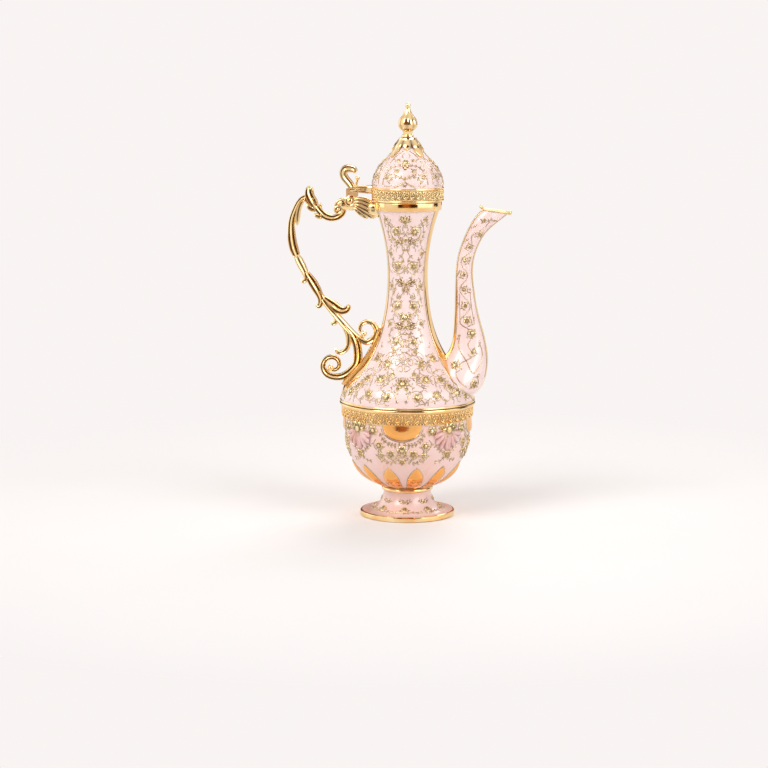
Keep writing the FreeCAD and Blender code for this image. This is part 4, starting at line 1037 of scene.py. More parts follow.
class CoffeePotFinish(bpy.types.PropertyGroup):
    """Colours and gloss of the pot's finishes."""

    pink: colour("Pink", "Light tone of the enamel", (0.90, 0.73, 0.70))
    blush: colour("Blush", "Deeper tone that drifts through the enamel", (0.84, 0.61, 0.58))
    # Painted reflection: the orange glow that a gold tray under the pot throws on the bowl and foot is painted into
    # this pink
    reflected_glow_pink: colour("Bowl pink", "Warmer tone of the bowl's and foot's enamel", (0.85, 0.55, 0.47))
    # Painted shade: the brown line laid under each wire where the shade beside the raised wire falls
    wire_shade: colour("Painted_wire_shade", "Brown line that the wire lies in", (0.53, 0.36, 0.26))
    rose: colour("Rose", "Tone of the enamelled petals on the bowl", (0.70, 0.28, 0.22))
    gold: colour("Gold", "Light tone of the gilding", (0.97, 0.78, 0.44))
    amber: colour("Amber", "Deeper tone that drifts through the gilding", (0.93, 0.55, 0.20))
    # Painted reflection: the orange of a gold tray mirrored in the bowl's scallops and tongues is painted into their
    # gold
    tray_reflection: colour("Tray_reflection", "Orange tone of the mirror-gold plates on the bowl", (0.93, 0.43, 0.12))
    wire: colour("Wire gold", "Tone of the drawn wire and the leaves", (0.82, 0.65, 0.40))
    blossom: colour("Blossom gold", "Pale satin tone of the blossoms", (0.97, 0.81, 0.46))
    # Painted shade: the dark brown that the gold and the wire's shade line take in hollows
    hollow_shade: colour("Painted_hollow_shade", "Brown left in the hollows of the castings", (0.075, 0.032, 0.010))
    enamel_roughness: bpy.props.FloatProperty(
        name="Enamel roughness", description="Roughness under the enamel's clear gloss", subtype="FACTOR", min=0, max=1,
        default=0.34)
    gold_roughness: bpy.props.FloatProperty(
        name="Gold roughness", description="Roughness of the best polished gold", subtype="FACTOR", min=0, max=1,
        default=0.09)


class CoffeePotOrnament(bpy.types.PropertyGroup):
    """Sizes of the wire and blossoms."""

    wire_radius: bpy.props.FloatProperty(
        name="Wire radius", description="Radius of the drawn wire, in millimetres", min=0.1, max=1.0, default=0.19)
    seam_radius: bpy.props.FloatProperty(
        name="Seam radius", description="Radius of the wire along the panels' seams, in millimetres", min=0.1, max=1.5,
        default=0.5)
    blossom: bpy.props.FloatProperty(
        name="Blossom size", description="Scale of all blossoms", subtype="FACTOR", min=0.2, max=3.0, default=1.2)
    seed: bpy.props.IntProperty(
        name="Seed", description="Seed of the tendrils' lie", min=0, default=11)


class CoffeePotStage(bpy.types.PropertyGroup):
    """Floor, light and camera."""

    floor: colour("Floor", "Colour of the floor", (0.9, 0.87, 0.86))
    backdrop: colour("Backdrop", "Colour behind the object", (0.945, 0.905, 0.895))
    sky: bpy.props.FloatProperty(
        name="Room light", description="Strength of the even light from all round", min=0, max=3, default=0.5)
    key: bpy.props.FloatProperty(
        name="Key light", description="Power of the large soft light", unit="POWER", min=0, default=26)
    fill: bpy.props.FloatProperty(
        name="Fill light", description="Power of each of the two softer lights", unit="POWER", min=0, default=14)
    camera_reach: bpy.props.FloatProperty(
        name="Camera distance", description="Distance of the camera from the pot's axis", unit="LENGTH", default=1.6)
    camera_height: bpy.props.FloatProperty(
        name="Camera height", description="Height of the camera over the floor", unit="LENGTH", default=0.335)
    lens: bpy.props.FloatProperty(
        name="Lens", description="Focal length, in millimetres", unit="CAMERA", default=115.68)


def turned_piece(part, body, slot, section, paints, columns=160, turns=None, **options):
    """Turn a section into the piece that stands for the node of this name."""
    shell = lathe(section, turns or (lambda height: round_angles(columns)), **options)
    fitted(finished(f"dressed_{part}", shell, paints), body, slot, part)


class COFFEEPOT_OT_turned(bpy.types.Operator):
    """Turn the foot, knop, bowl, bead, body, collar, bands, dome and finial"""

    bl_idname = "coffeepot.turned"
    bl_label = "Turned Pieces"

    wide_columns = 192

    def execute(self, context):
        wide = self.wide_columns
        # The foot and bowl take the pink with the tray's painted reflection
        turned_piece("foot", "pot", "pink_enamel", foot_section(), ("bowl", "turned"),
                     finish_of=enamel_up_to(len(FOOT_FLARE) - 1))
        turned_piece("stem_knop", "pot", "turned_gold", rolled(16.1, 16.5, 19.1, 1.43, 0), ("turned",))
        turned_piece("lower_bowl", "pot", "pink_enamel", bowl_section(), ("bowl", "turned"), wide,
                     finish_of=enamel_up_to(len(BOWL_OUTSIDE) - 1))
        # Painted shadow: a dark line in the groove between the bead's two rounds
        turned_piece("waist_bead", "pot", "turned_gold", waist_bead_section(), ("turned",), wide,
                     recess_of=sunk(0.85, 75.25, 76.15))
        # Painted shade over the band's whole face
        turned_piece("waist_band", "pot", "chased_gold", waist_band_section(), ("amber",), wide,
                     recess_of=sunk(0.5, 66.2, 72.8))
        turned_piece("upper_body", "pot", "pink_enamel", body_section(), ("enamel", "amber"), turns=body_turns,
                     finish_of=body_finish)
        turned_piece("neck_collar", "pot", "turned_gold", collar_section(), ("turned",))
        # Painted shade between the lid band's two beads
        turned_piece("lid_band", "lid", "chased_gold", lid_band_section(), ("turned", "chased"),
                     finish_of=lambda row, column: 1 if row == BEAD_ROWS else 0,
                     recess_of=sunk(0.6, LID_Z + 1.4, DOME_Z - 1.4))
        turned_piece("lid_dome", "lid", "pink_enamel", dome_section(), ("enamel",))
        turned_piece("finial_ring", "lid", "turned_gold", rolled(3.2, CAP_Z, FINIAL_Z, 1.32, 1.55), ("turned",), 64)
        # Painted shade in the finial's flutes
        turned_piece("finial", "lid", "cast_gold", finial_section(), ("cast",), 120,
                     swell=lambda turn, radius, height: radius * (1 - 0.07 * flute_share(turn, height)),
                     recess_of=lambda turn, height: 0.45 * flute_share(turn, height))
        return {"FINISHED"}


OUTER_STRIPE = 0.7


def inner_stripe(length):
    """How deep the gold runs on the spout's inner side: less towards the lip."""
    return 2.0 - 1.2 * blended(length, 55.0, 95.0)


def stripe_half(depth, wide):
    """Half width, as an angle in the spout's oval, of a stripe that runs so deep."""
    return math.acos(1 - depth / wide)


class COFFEEPOT_OT_spout(bpy.types.Operator):
    """Loft the spout with its gold stripes, and roll its lip"""

    bl_idname = "coffeepot.spout"
    bl_label = "Spout and Lip"

    rows = 72
    inner_rows = 24
    counts = (8, 26, 14, 26)
    lip_columns = 64
    lip_half = (1.1, 0.65)

    def execute(self, context):
        outside, inside = SpoutSkin(), SpoutSkin(SPOUT_WALL)
        shell = bmesh.new()
        rings = []
        for share in shares(self.rows):
            length = outside.reach * share
            rings.append([shell.verts.new(self.outside_wall(outside.point(turn, length)))
                          for turn in self.turns(outside, length)])
        for share in shares(self.inner_rows):
            length = between(inside.reach, inside.knots[3], share)
            rings.append([shell.verts.new(inside.point(turn, length)) for turn in self.turns(outside, length)])
        ring_faces(shell, rings)
        stripes = [column for column, stretch in enumerate(
            stretch for stretch, count in enumerate(self.counts) for _ in range(count)) if stretch % 2 == 0]
        for index, face in enumerate(shell.faces):
            row, column = divmod(index, len(rings[0]))
            face.material_index = 1 if row >= self.rows or column in stripes else 0
        fitted(finished("dressed_spout", shell, ["enamel", "turned"]), "pot", "pink_enamel", "spout")
        self.make_lip(outside)
        return {"FINISHED"}

    def turns(self, skin, length):
        """Columns of the spout's oval that follow its two gold stripes."""
        wide = skin.spread(length)
        return striped_turns(stripe_half(OUTER_STRIPE, wide), stripe_half(inner_stripe(length), wide), self.counts)

    @staticmethod
    def outside_wall(point):
        """Keep the spout's root inside the thickness of the body's wall."""
        least = body_radius(point.z) - WALL / 2
        radius = math.hypot(point.x, point.y)
        if radius >= least:
            return point
        return Vector((point.x * least / radius, point.y * least / radius, point.z))

    def make_lip(self, skin):
        shell, layer = new_shell()
        x, z, lean, wide, deep = skin.station(skin.reach)
        thick, tall = self.lip_half
        across = Vector((math.cos(lean), 0, math.sin(lean)))
        upwards = Vector((-math.sin(lean), 0, math.cos(lean)))
        centre = Vector((x, 0, z)) + upwards * tall
        rings = []
        for turn in round_angles(self.lip_columns):
            outwards = (across * (deep * math.cos(turn)) + Vector((0, wide * math.sin(turn), 0))).normalized()
            middle = centre + across * ((wide - 0.4) * math.cos(turn)) + Vector((0, (deep - 0.4) * math.sin(turn), 0))
            rings.append([
                shell.verts.new(middle + outwards * (thick * math.cos(angle)) + upwards * (tall * math.sin(angle)))
                for angle in round_angles(10)])
        ring_faces(shell, rings + rings[:1], closed=False)
        # The lip's balls get a little painted shade
        ball(shell, layer, centre + across * (wide + 0.7), 1.48, 0.1)
        ball(shell, layer, centre - across * (wide + 0.7) + upwards * 1.3, 1.2, 0.1)
        for side in (-1, 1):
            ball(shell, layer, centre + across * (wide - 0.7) + Vector((0, side * 1.9, 0.2)), 0.95, 0.2)
        fitted(finished("dressed_spout_lip", shell, ["cast"]), "pot", "cast_gold", "spout_lip")


# Handle: scrolls on shares, in percent, of the way out to the arch and down to the saddle
HINGE = Vector((-37.4, 0, 206.4))
HANDLE_REACH = 40.0
HANDLE_DROP = 106.7
HANDLE_DEPTH = 1.15
SADDLE_STAND = 1.8
SCROLLS = (
    # points, widths, flutes on each face
    # bar, arch
    (((12, 4.4), (13, 6.6), (18.5, 9), (28.5, 10.5), (41, 9.7), (52, 6), (61, 1.2), (71, -3)),
     (4.4, 4.2, 4.2, 4.6, 4.6, 4.2, 3.8, 3.2), 2),
    (((66, -3), (79, -1), (90, 4.7), (97.4, 11.7), (99.7, 18.5), (99.2, 25.2), (96.4, 30.7), (91.4, 35.9)),
     (2.6, 3.2, 3.6, 4.2, 4.9, 5.8, 6.0, 4.2), 2),
    # second leaf, third leaf, branch
    (((95, 32.5), (87.7, 38.9), (81.2, 44.3), (80.0, 47.6), (84, 49.6), (88.6, 48.2)),
     (3.0, 5.2, 5.4, 4.6, 3.6, 2.6), 1),
    (((81.7, 42.9), (73.9, 47.7), (66.1, 52.9), (59.4, 58.2), (58.0, 61.9), (62.1, 64.9), (67.5, 63.9)),
     (3.0, 4.8, 6.0, 5.8, 4.6, 3.8, 2.6), 2),
    (((56, 58.9), (46.5, 61.9), (35.5, 65.2), (24.2, 67.4), (15.3, 66.4), (12.4, 63.4)),
     (2.8, 4.8, 6.2, 6.0, 4.6, 3.0), 2),
    # hook, nib, leaflet
    (((31, 72), (21.1, 77.5), (16.1, 83.2), (17.3, 88.8), (25, 92.7), (34.1, 93.4), (39.4, 91.0)),
     (2.8, 3.8, 4.0, 3.8, 3.4, 3.0, 2.2), 1),
    (((42.4, 66.3), (36, 70.6), (35.5, 74.4), (40.2, 75.8), (42.6, 73.8)), (2.8, 3.6, 3.2, 2.8, 2.0), 1),
    (((74, -2), (83, 3.2), (87.5, 8.7), (89.6, 15.3)), (2.2, 3.2, 3.8, 2.6), 1),
    # bud at the top of the arch: its middle, lip, second, side, low, under and over leaves
    (((56, 5.2), (62.5, 0.2), (67.3, -4.6), (66.2, -9.0)), (4.0, 6.4, 6.0, 3.4), 2),
    (((60.4, 1.4), (62.2, -3.6), (61.6, -8.4)), (2.8, 3.0, 2.0), 1),
    (((55.5, 4.2), (63.6, -0.6), (72.2, -5.0)), (2.8, 4.4, 2.8), 1),
    (((57.0, 4.8), (67.0, 1.0), (76.4, -2.3)), (2.8, 4.4, 2.8), 1),
    (((54.0, 5.6), (64.2, 5.0), (72.4, 2.1)), (3.0, 4.0, 2.4), 1),
    (((45.6, 9.6), (53.5, 9.6), (60.6, 8.2)), (3.4, 3.6, 2.0), 1),
    (((54, 5.8), (50.3, 3.8), (48.6, 1.4)), (2.8, 2.6, 1.7), 1),
    # knot at the hinge
    (((13, 5.6), (19, 7.3), (23.4, 6.1)), (2.8, 2.8, 2.0), 1),
)
VOLUTES = (
    # points, widths, flutes on each face, then the volute: eye, first and last radius, sweep in degrees, steps
    (((62.5, 54.8), (51.5, 62.2), (39.5, 68.2), (27.1, 74), (14.8, 79.3), (3.1, 83.6), (-7.5, 86)),
     (3.4, 3.8, 4.2, 4.6, 4.8, 4.6, 4.2, 4.0, 3.6, 3.2, 2.8, 2.4), 1, ((-13.5, 79.2), 8.0, 2.94, 330, 10)),
    (((21.7, 76.4), (10.2, 81.6), (3.2, 88), (1.8, 94.4), (5.2, 100.5), (18, 105.7), (33.2, 108.5)),
     (3.2, 4.6, 5.6, 6.0, 5.8, 5.4, 4.8, 4.4, 4.0, 3.6, 3.2, 2.8, 2.4), 2, ((44.5, 101.3), 7.6, 2.52, -400, 12)),
)
EYE_BALL = 2.1


def on_handle(across, down):
    """The point at these two shares."""
    share = down / 100
    foot_x = -(body_radius(HINGE.z - HANDLE_DROP) + SADDLE_STAND)
    chord = between(HINGE.x, foot_x, share)
    return Vector((chord - HANDLE_REACH * across / 100, 0, HINGE.z - HANDLE_DROP * share))


def volute(eye, start_radius, end_radius, sweep, steps):
    """Points of a spiral that starts below its eye and closes round it."""
    spokes = [(math.radians(-90 + sweep * share), between(start_radius, end_radius, share)) for share in shares(steps)]
    return [on_handle(*eye) + Vector((math.cos(angle), 0, math.sin(angle))) * radius for angle, radius in spokes]


class COFFEEPOT_OT_handle(bpy.types.Operator):
    """Cast the scrolled handle and bend the strap it is soldered to"""

    bl_idname = "coffeepot.handle"
    bl_label = "Handle and Saddle"

    strap_half = 6.0
    strap_ends = (85.0, 124.5)
    strap_rows = 60
    strap_columns = 16

    def execute(self, context):
        shell, layer = new_shell()
        for points, widths, grooves in SCROLLS:
            fluted_scroll(shell, layer, [on_handle(*point) for point in points], widths, HANDLE_DEPTH, grooves)
        for points, widths, grooves, curl in VOLUTES:
            path = [on_handle(*point) for point in points] + volute(*curl)
            fluted_scroll(shell, layer, path, widths, HANDLE_DEPTH, grooves)
            ball(shell, layer, path[-1], EYE_BALL)
        fitted(finished("dressed_handle", shell, ["cast"]), "pot", "cast_gold", "handle")
        self.make_saddle()
        return {"FINISHED"}

    def make_saddle(self):
        half, (low, high) = self.strap_half, self.strap_ends
        shell, layer = new_shell()
        rings = []
        for share in shares(self.strap_rows):
            height = between(low, high, share)
            end = min(height - low, high - height)
            wide = half if end >= half else math.sqrt(max(half ** 2 - (half - end) ** 2, 0.04))
            places = [-1 + 2 * column for column in shares(self.strap_columns)]
            ring = []
            for place in places:
                ring.append(self.strap_point(shell, height, wide * place, 1.15 + 0.65 * (1 - place ** 8)))
                # Painted shade towards the strap's edges, where it meets the body
                ring[-1][layer] = 0.35 * abs(place) ** 6
            rings.append(ring + [self.strap_point(shell, height, wide * place, 0.05) for place in places[::-1]])
        ring_faces(shell, rings)
        fitted(finished("dressed_handle_saddle", shell, ["amber"]), "pot", "cast_gold", "handle_saddle")

    @staticmethod
    def strap_point(shell, height, aside, stand):
        radius = body_radius(height)
        slope = (body_radius(height + 0.05) - body_radius(height - 0.05)) / 0.1
        turn = math.pi + math.asin(aside / radius)
        return shell.verts.new(turned(radius, turn, height) + turned(1.0, turn, -slope).normalized() * stand)


class COFFEEPOT_OT_cap(bpy.types.Operator):
    """Bend the leaf cap under the finial, long and short leaves in turn"""

    bl_idname = "coffeepot.cap"
    bl_label = "Leaf Cap"

    leaves = 8
    columns = 96
    rows = 14
    drop = 12.4
    short = 0.62
    notch = 0.3

    def edge(self, turn):
        """How far down the leaves reach at a turn, and how near the middle rib of a leaf is."""
        place = (turn / TAU * self.leaves) % 2
        off = abs((place + 0.5) % 1 - 0.5) * 2
        tip = 1.0 if 0.5 <= place < 1.5 else self.short
        return between(tip, self.notch, off ** 1.6), 1 - off

    def execute(self, context):
        shell, layer = new_shell()
        down = shares(self.rows)
        rings = [[shell.verts.new(self.leaf_point(share, turn, outer)) for turn in round_angles(self.columns)]
                 for outer, run in ((True, down), (False, down[::-1])) for share in run]
        for ring, share in zip(rings, down + down[::-1]):
            for vertex, turn in zip(ring, round_angles(self.columns)):
                # Painted shade between the leaves, fading out near the top
                vertex[layer] = (1 - self.edge(turn)[1]) ** 2 * 0.9 * blended(share, 0.0, 0.3)
        ring_faces(shell, rings + rings[:1], closed=False)
        fitted(finished("dressed_finial_cap", shell, ["cast"]), "lid", "cast_gold", "finial_cap")
        return {"FINISHED"}

    def leaf_point(self, share, turn, outer):
        reach, rib = self.edge(turn)
        height = CAP_Z - self.drop * (share * reach) ** 0.95
        radius = 5.0 + 3.4 * blended(share * reach, 0, 0.5)
        if height < CROWN_Z:
            radius = max(radius, CROWN_RADIUS + (CROWN_Z - height) * CROWN_SLOPE)
        if outer:
            lift = 0.75 + 0.5 * blended(share, 0.82, 1.0) + 0.45 * rib * math.sin(math.pi * min(share, 0.96))
        else:
            lift = 0.08
            height -= 0.6 if share < 0.05 else 0.0
        return turned(radius + lift * 0.75, turn, height + lift * 0.66)


# Ornament on a panel that repeats round the pot
WIRE_LIFT = 0.12
LEAF_LIFT = 0.02
BLOSSOM_LIFT = 0.04
COIL_STEP = 14  # degrees


class EnamelPanel:
    """Draws each stroke and blossom once and repeats it at every (turn, hand) of the panel."""

    def __init__(self, ornament, skin, copies, wire, scale):
        self.ornament = ornament
        self.skin = skin
        self.copies = copies
        self.wire = wire
        self.scale = scale

    def spot(self, aside, height):
        """Turn and length of a point so many millimetres aside of the panel's middle."""
        length = self.skin.length_at(height)
        return aside / self.skin.spread(length), length

    def trace(self, path, wire=1.0, taper=0.4):
        for centre, hand in self.copies:
            mirrored = [(centre + hand * turn, length) for turn, length in path]
            self.ornament.draw(self.skin, mirrored, self.wire * wire, WIRE_LIFT, taper)

    def tendril(self, aside, height, heading, reach, start_bend, end_bend, wire=1.0, leaf=0.0):
        path = scroll(self.skin, *self.spot(aside, height), heading, reach, start_bend, end_bend)
        self.trace(path, wire)
        if leaf:
            bend = heading + math.degrees((start_bend + end_bend) * reach * 0.25)
            for swing in (50, -50):
                self.leaf_at(path[len(path) // 2], bend + swing, leaf)

    def coil(self, shape, aside, height, size, outer, start, hand, sweep=400, leaf=2.1):
        """A vine that winds in on a blossom, with leaves along its outside. Angles in degrees."""
        turn, length = self.spot(aside, height)
        spread = self.skin.spread(length)
        path = []
        count = int(sweep / COIL_STEP)
        for share in shares(count):
            angle = math.radians(start + hand * sweep * share)
            reach = between(outer, 0.5 * size, share)
            path.append((turn + reach * math.cos(angle) / spread, length + reach * math.sin(angle)))
        self.trace(path, 1.0, 0.3)
        for step in range(3, count * 3 // 5, 6):
            along_vine = start + hand * (sweep * step / count + 90)
            self.leaf_at(path[step], along_vine - hand * 48, leaf)
            self.leaf_at(path[step + 1], along_vine + hand * 40, leaf * 0.75)
        self.blossom(shape, aside, height, size)

    def garland(self, points, leaf, wire=1.0, every=2.4, steps=24):
        """A wire through (aside, height) points with a leaf on each side at even steps."""
        self.line(points, wire, steps)
        path = smooth_path(upright(points), steps)
        count = max(int(running(path)[-1] / every), 1)
        for index in range(count):
            step = min(int((index + 0.5) * steps / count), steps - 1)
            ahead = path[step + 1] - path[step]
            heading = math.degrees(math.atan2(ahead.z, ahead.x))
            for swing in (46, -46):
                self.leaf(path[step].x, path[step].z, heading + swing, leaf)

    def line(self, points, wire=1.0, steps=16):
        """A smooth wire through (aside, height) points."""
        self.trace([self.spot(point.x, point.z) for point in smooth_path(upright(points), steps)], wire, 0.0)

    def leaf_at(self, place, heading, size, shape="leaf"):
        for centre, hand in self.copies:
            turned_heading = heading if hand > 0 else 180 - heading
            self.ornament.mark(shape, self.skin, centre + hand * place[0], place[1], size, turned_heading, LEAF_LIFT)

    def leaf(self, aside, height, heading, size, shape="leaf"):
        self.leaf_at(self.spot(aside, height), heading, size, shape)

    def blossom(self, shape, aside, height, size):
        turn, length = self.spot(aside, height)
        for centre, hand in self.copies:
            if hand > 0 or abs(aside) > TINY:
                self.ornament.mark(shape, self.skin, centre + hand * turn, length, size * self.scale, lift=BLOSSOM_LIFT)


def round_copies(count, start=FRONT):
    """Both hands of a panel that repeats so many times round the axis."""
    return tuple((start + TAU * index / count, hand) for index in range(count) for hand in (1, -1))


NECK_COILS = (
    # form, aside, height, radius, radius and start of the vine round it, hand
    ("rosette", 6.0, 188.0, 2.7, 5.6, -100, 1), ("daisy", 5.0, 165.2, 2.6, 4.9, -95, -1),
    ("daisy", 5.3, 139.6, 2.6, 4.9, -95, 1), ("daisy", 5.6, 117.0, 2.6, 5.2, -95, -1),
    ("daisy", 11.0, 173.6, 1.5, 3.0, 150, -1), ("daisy", 9.8, 152.4, 1.5, 2.9, 160, 1),
    ("daisy", 10.6, 128.2, 1.5, 3.1, 170, -1), ("daisy", 13.4, 196.0, 1.4, 3.0, 180, 1),
)
NECK_STEMS = (
    ((5.0, 182.6), (0.9, 176.5), (4.6, 170.3)), ((4.8, 160.2), (9.6, 165.4), (8.4, 171.2)),
    ((4.9, 160.2), (1.0, 150.0), (4.9, 144.5)), ((5.0, 134.8), (10.2, 139.0), (8.0, 150.4)),
    ((4.9, 134.8), (1.2, 121.8), (5.2, 122.2)), ((5.4, 111.9), (11.4, 118.4), (8.6, 126.0)),
    ((5.2, 182.4), (12.0, 184.4), (11.4, 194.0)),
)
NECK_SPRAYS = (
    # aside, over the stem, heading, size of the leaves on each cross stem
    (1.4, 0.3, 35, 4.4), (1.6, -0.6, -15, 3.8), (4.2, 0.2, 20, 3.6), (4.6, -0.4, -35, 3.0),
)
NECK_TENDRILS = (
    # aside, height, heading, reach
    (1.6, 175.0, 60, 7), (1.0, 160.4, 80, 8), (1.0, 147.0, 75, 8), (1.2, 114.0, 65, 8), (1.6, 188.5, 80, 6),
)
SKIRT_COILS = (
    ("daisy", 19.5, 106.0, 2.6, 4.2, 200, -1), ("daisy", 11.4, 103.0, 2.6, 4.4, -60, 1),
    ("rosette", 15.0, 94.0, 2.9, 5.0, -80, -1), ("daisy", 25.8, 93.4, 2.8, 4.8, 230, 1),
    ("rosette", 40.0, 85.0, 2.6, 4.2, 180, -1), ("daisy", 22.9, 85.0, 2.8, 4.6, 200, 1),
    ("rosette", 10.0, 84.0, 2.8, 5.6, 190, -1), ("daisy", 33.2, 88.8, 2.5, 4.4, -60, -1),
    ("daisy", 6.8, 97.0, 1.6, 3.0, 210, 1), ("daisy", 6.8, 110.8, 1.5, 2.9, -80, -1),
    ("daisy", 48.6, 82.2, 2.0, 3.0, 150, -1),
)
SKIRT_STEMS = (
    ((5.6, 111.8), (8.4, 108.2), (13.6, 99.2)), ((11.0, 98.6), (9.0, 93.0), (15.9, 89.1)),
    ((4.5, 83.0), (3.2, 88.0), (2.8, 95.0)), ((15.5, 104.6), (18.6, 100.2), (22.7, 89.7)),
    ((18.6, 83.5), (16.0, 80.6), (11.0, 79.6)), ((28.8, 88.2), (30.4, 92.4), (35.2, 84.9)),
    ((27.0, 82.4), (31.0, 80.6), (35.8, 84.9)), ((20.0, 98.0), (24.0, 99.4), (29.6, 97.0)),
)
STONES = (
    # radius, height, degrees aside of the panel's middle
    (1.6, 104.5, 0.0), (0.9, 81.5, -4.0), (0.9, 81.5, 4.0),
)
SPOUT_COILS = (
    # form, share of the half width aside, height, radius, radius and start of the vine, hand
    ("daisy", -0.1, 194.6, 1.3, 2.2, 60, -1), ("daisy", 0.5, 187.0, 1.7, 2.8, 180, 1),
    ("daisy", 0.1, 177.6, 1.3, 2.5, -90, -1), ("rosette", 0.0, 168.6, 1.4, 2.5, -90, 1),
    ("daisy", 0.0, 159.4, 1.5, 2.6, -90, -1), ("rosette", 0.0, 149.8, 1.5, 2.8, -90, 1),
    ("daisy", 0.0, 139.4, 1.7, 3.0, -90, -1), ("daisy", 0.05, 129.6, 2.2, 3.7, -90, 1),
    ("rosette", 0.3, 121.4, 2.4, 3.6, -90, -1), ("rosette", -0.4, 99.4, 2.6, 4.4, -60, 1),
    ("daisy", 0.62, 92.6, 2.6, 4.2, 120, -1), ("daisy", 0.28, 109.6, 1.7, 3.2, 200, 1),
)
SPOUT_STEM = (
    # share of the half width aside, height
    (0.2, 197.0), (0.45, 191.0), (-0.2, 184.0), (0.45, 177.0), (-0.45, 168.0), (0.45, 159.0), (-0.45, 150.0),
    (0.45, 139.0), (-0.5, 128.0), (0.4, 121.0), (0.0, 114.0), (0.3, 108.0), (-0.1, 103.0), (-0.3, 96.0),
    (0.1, 91.0), (0.4, 90.0),
)
SPOUT_LEAVES = (
    # share of the half width aside, height, heading
    (-0.5, 189.0, 70), (0.6, 195.6, 20), (-0.6, 180.0, 60), (0.6, 170.0, 110), (-0.6, 160.0, 70), (0.62, 149.0, 110),
    (-0.62, 139.5, 70), (0.62, 131.0, 100), (-0.62, 119.0, 80), (0.66, 114.0, 80), (0.66, 97.0, 60), (-0.7, 94.6, 120),
)
SPOUT_OGEE = (
    # share of the half width aside, height
    (-0.5, 120.7), (-0.54, 113.7), (-0.3, 108.5), (0.13, 102.4), (0.45, 98.2), (0.66, 102.4),
    (0.75, 106.8), (0.65, 114.6),
)


def dress_neck(panel):
    for heading, size in ((58, 5.0), (100, 4.6), (18, 4.0)):
        panel.leaf(0.6, 194.6, heading, size)
    panel.blossom("daisy", 0.0, 194.2, 1.5)
    for coil in NECK_COILS:
        panel.coil(*coil)
    for middle, end, drop in ((182.2, 8.0, -1.8), (153.4, 6.2, 2.6), (126.2, 7.4, 1.4)):
        panel.line([(0.2, middle), (end * 0.5, middle + drop * 0.3), (end, middle + drop)], 1.2)
        for aside, rise, heading, size in NECK_SPRAYS:
            panel.leaf(aside, middle + rise + drop * aside / end, heading, size)
        panel.blossom("daisy", 0.0, middle, 1.5)
    for blossom in (("rosette", 0.0, 132.4, 2.4), ("daisy", 3.0, 133.8, 1.3), ("daisy", 2.0, 129.9, 1.3)):
        panel.blossom(*blossom)
    for stem in NECK_STEMS:
        panel.garland(stem, 1.9, 1.0, 3.8)
    for tendril in NECK_TENDRILS:
        panel.tendril(*tendril, 0.08, 0.75, leaf=1.7)


def fine_vines(panel, seed, count=44, low=84.0, high=197.0):
    """Short fine tendrils that fill the ground between the larger ones."""
    draw = random.Random(seed)
    for index in range(count):
        height = between(low, high, (index + draw.random()) / count)
        hand = draw.choice((-1, 1))
        widest = body_radius(height) * (math.pi / 2 - seam(height)) - 2.5
        panel.tendril(draw.uniform(0.1, 0.92) * widest, height, draw.uniform(0, 360), draw.uniform(4.0, 7.0),
                      hand * 0.08, hand * draw.uniform(0.6, 1.2), 0.75, 1.2)


def stone_petal(heading, share):
    """A point on the wire round one petal of the flower that holds the upper stone."""
    radius, height, _ = STONES[0]
    angle = math.radians(heading) + 0.46 * math.sin(TAU * share)
    reach = radius + 0.7 + 3.4 * math.sin(math.pi * share) ** 0.8
    return reach * math.cos(angle), height + reach * math.sin(angle)


def dress_skirt(panel, seed):
    draw = random.Random(seed)
    for coil in SKIRT_COILS:
        panel.coil(*coil)
    for stem in SKIRT_STEMS:
        panel.garland(stem, 1.8, 1.0, 4.6)
    for heading in (0, 60, -60):
        panel.line([stone_petal(heading, share) for share in (0.0, 0.15, 0.35, 0.5, 0.65, 0.85, 1.0)], 1.0, 18)
    panel.blossom("rosette", 0.0, 91.8, 3.5)
    panel.blossom("daisy", 2.9, 89.0, 1.5)
    for heading in (25, 70, -35):
        panel.tendril(1.2, 91.8, heading, 7.0, 0.04, 0.6, leaf=2.0)
    for _, aside, height, *_ in SKIRT_COILS:
        for _ in range(2):
            hand = draw.choice((-1, 1))
            panel.tendril(aside, height, draw.uniform(0, 360), draw.uniform(7.0, 10.5), hand * 0.05,
                          hand * draw.uniform(0.4, 0.7), 0.9)
    for aside in (17.0, 29.4, 36.6):
        panel.tendril(aside, 78.6, 70, 6.0, 0.05, 0.7, leaf=1.6)


def dress_spout(panel):
    def spot(share, height):
        """A place at a share of the half width from the spout's middle line."""
        return math.asin(share) * panel.skin.spread(panel.skin.length_at(height)), height

    for shape, share, height, *rest in SPOUT_COILS:
        panel.coil(shape, *spot(share, height), *rest, leaf=1.8)
    panel.line([spot(*place) for place in SPOUT_STEM], 1.1, 80)
    for share, height, heading in SPOUT_LEAVES:
        panel.leaf(*spot(share, height), heading, 2.6)
        panel.leaf(*spot(share, height), heading + 150, 2.2)
    panel.line([spot(*place) for place in SPOUT_OGEE], 1.3, 40)
    for side in (-0.5, 0.55):
        panel.line([spot(side, height) for height in (147.0, 141.0, 134.0, 127.0)], 0.8, 14)


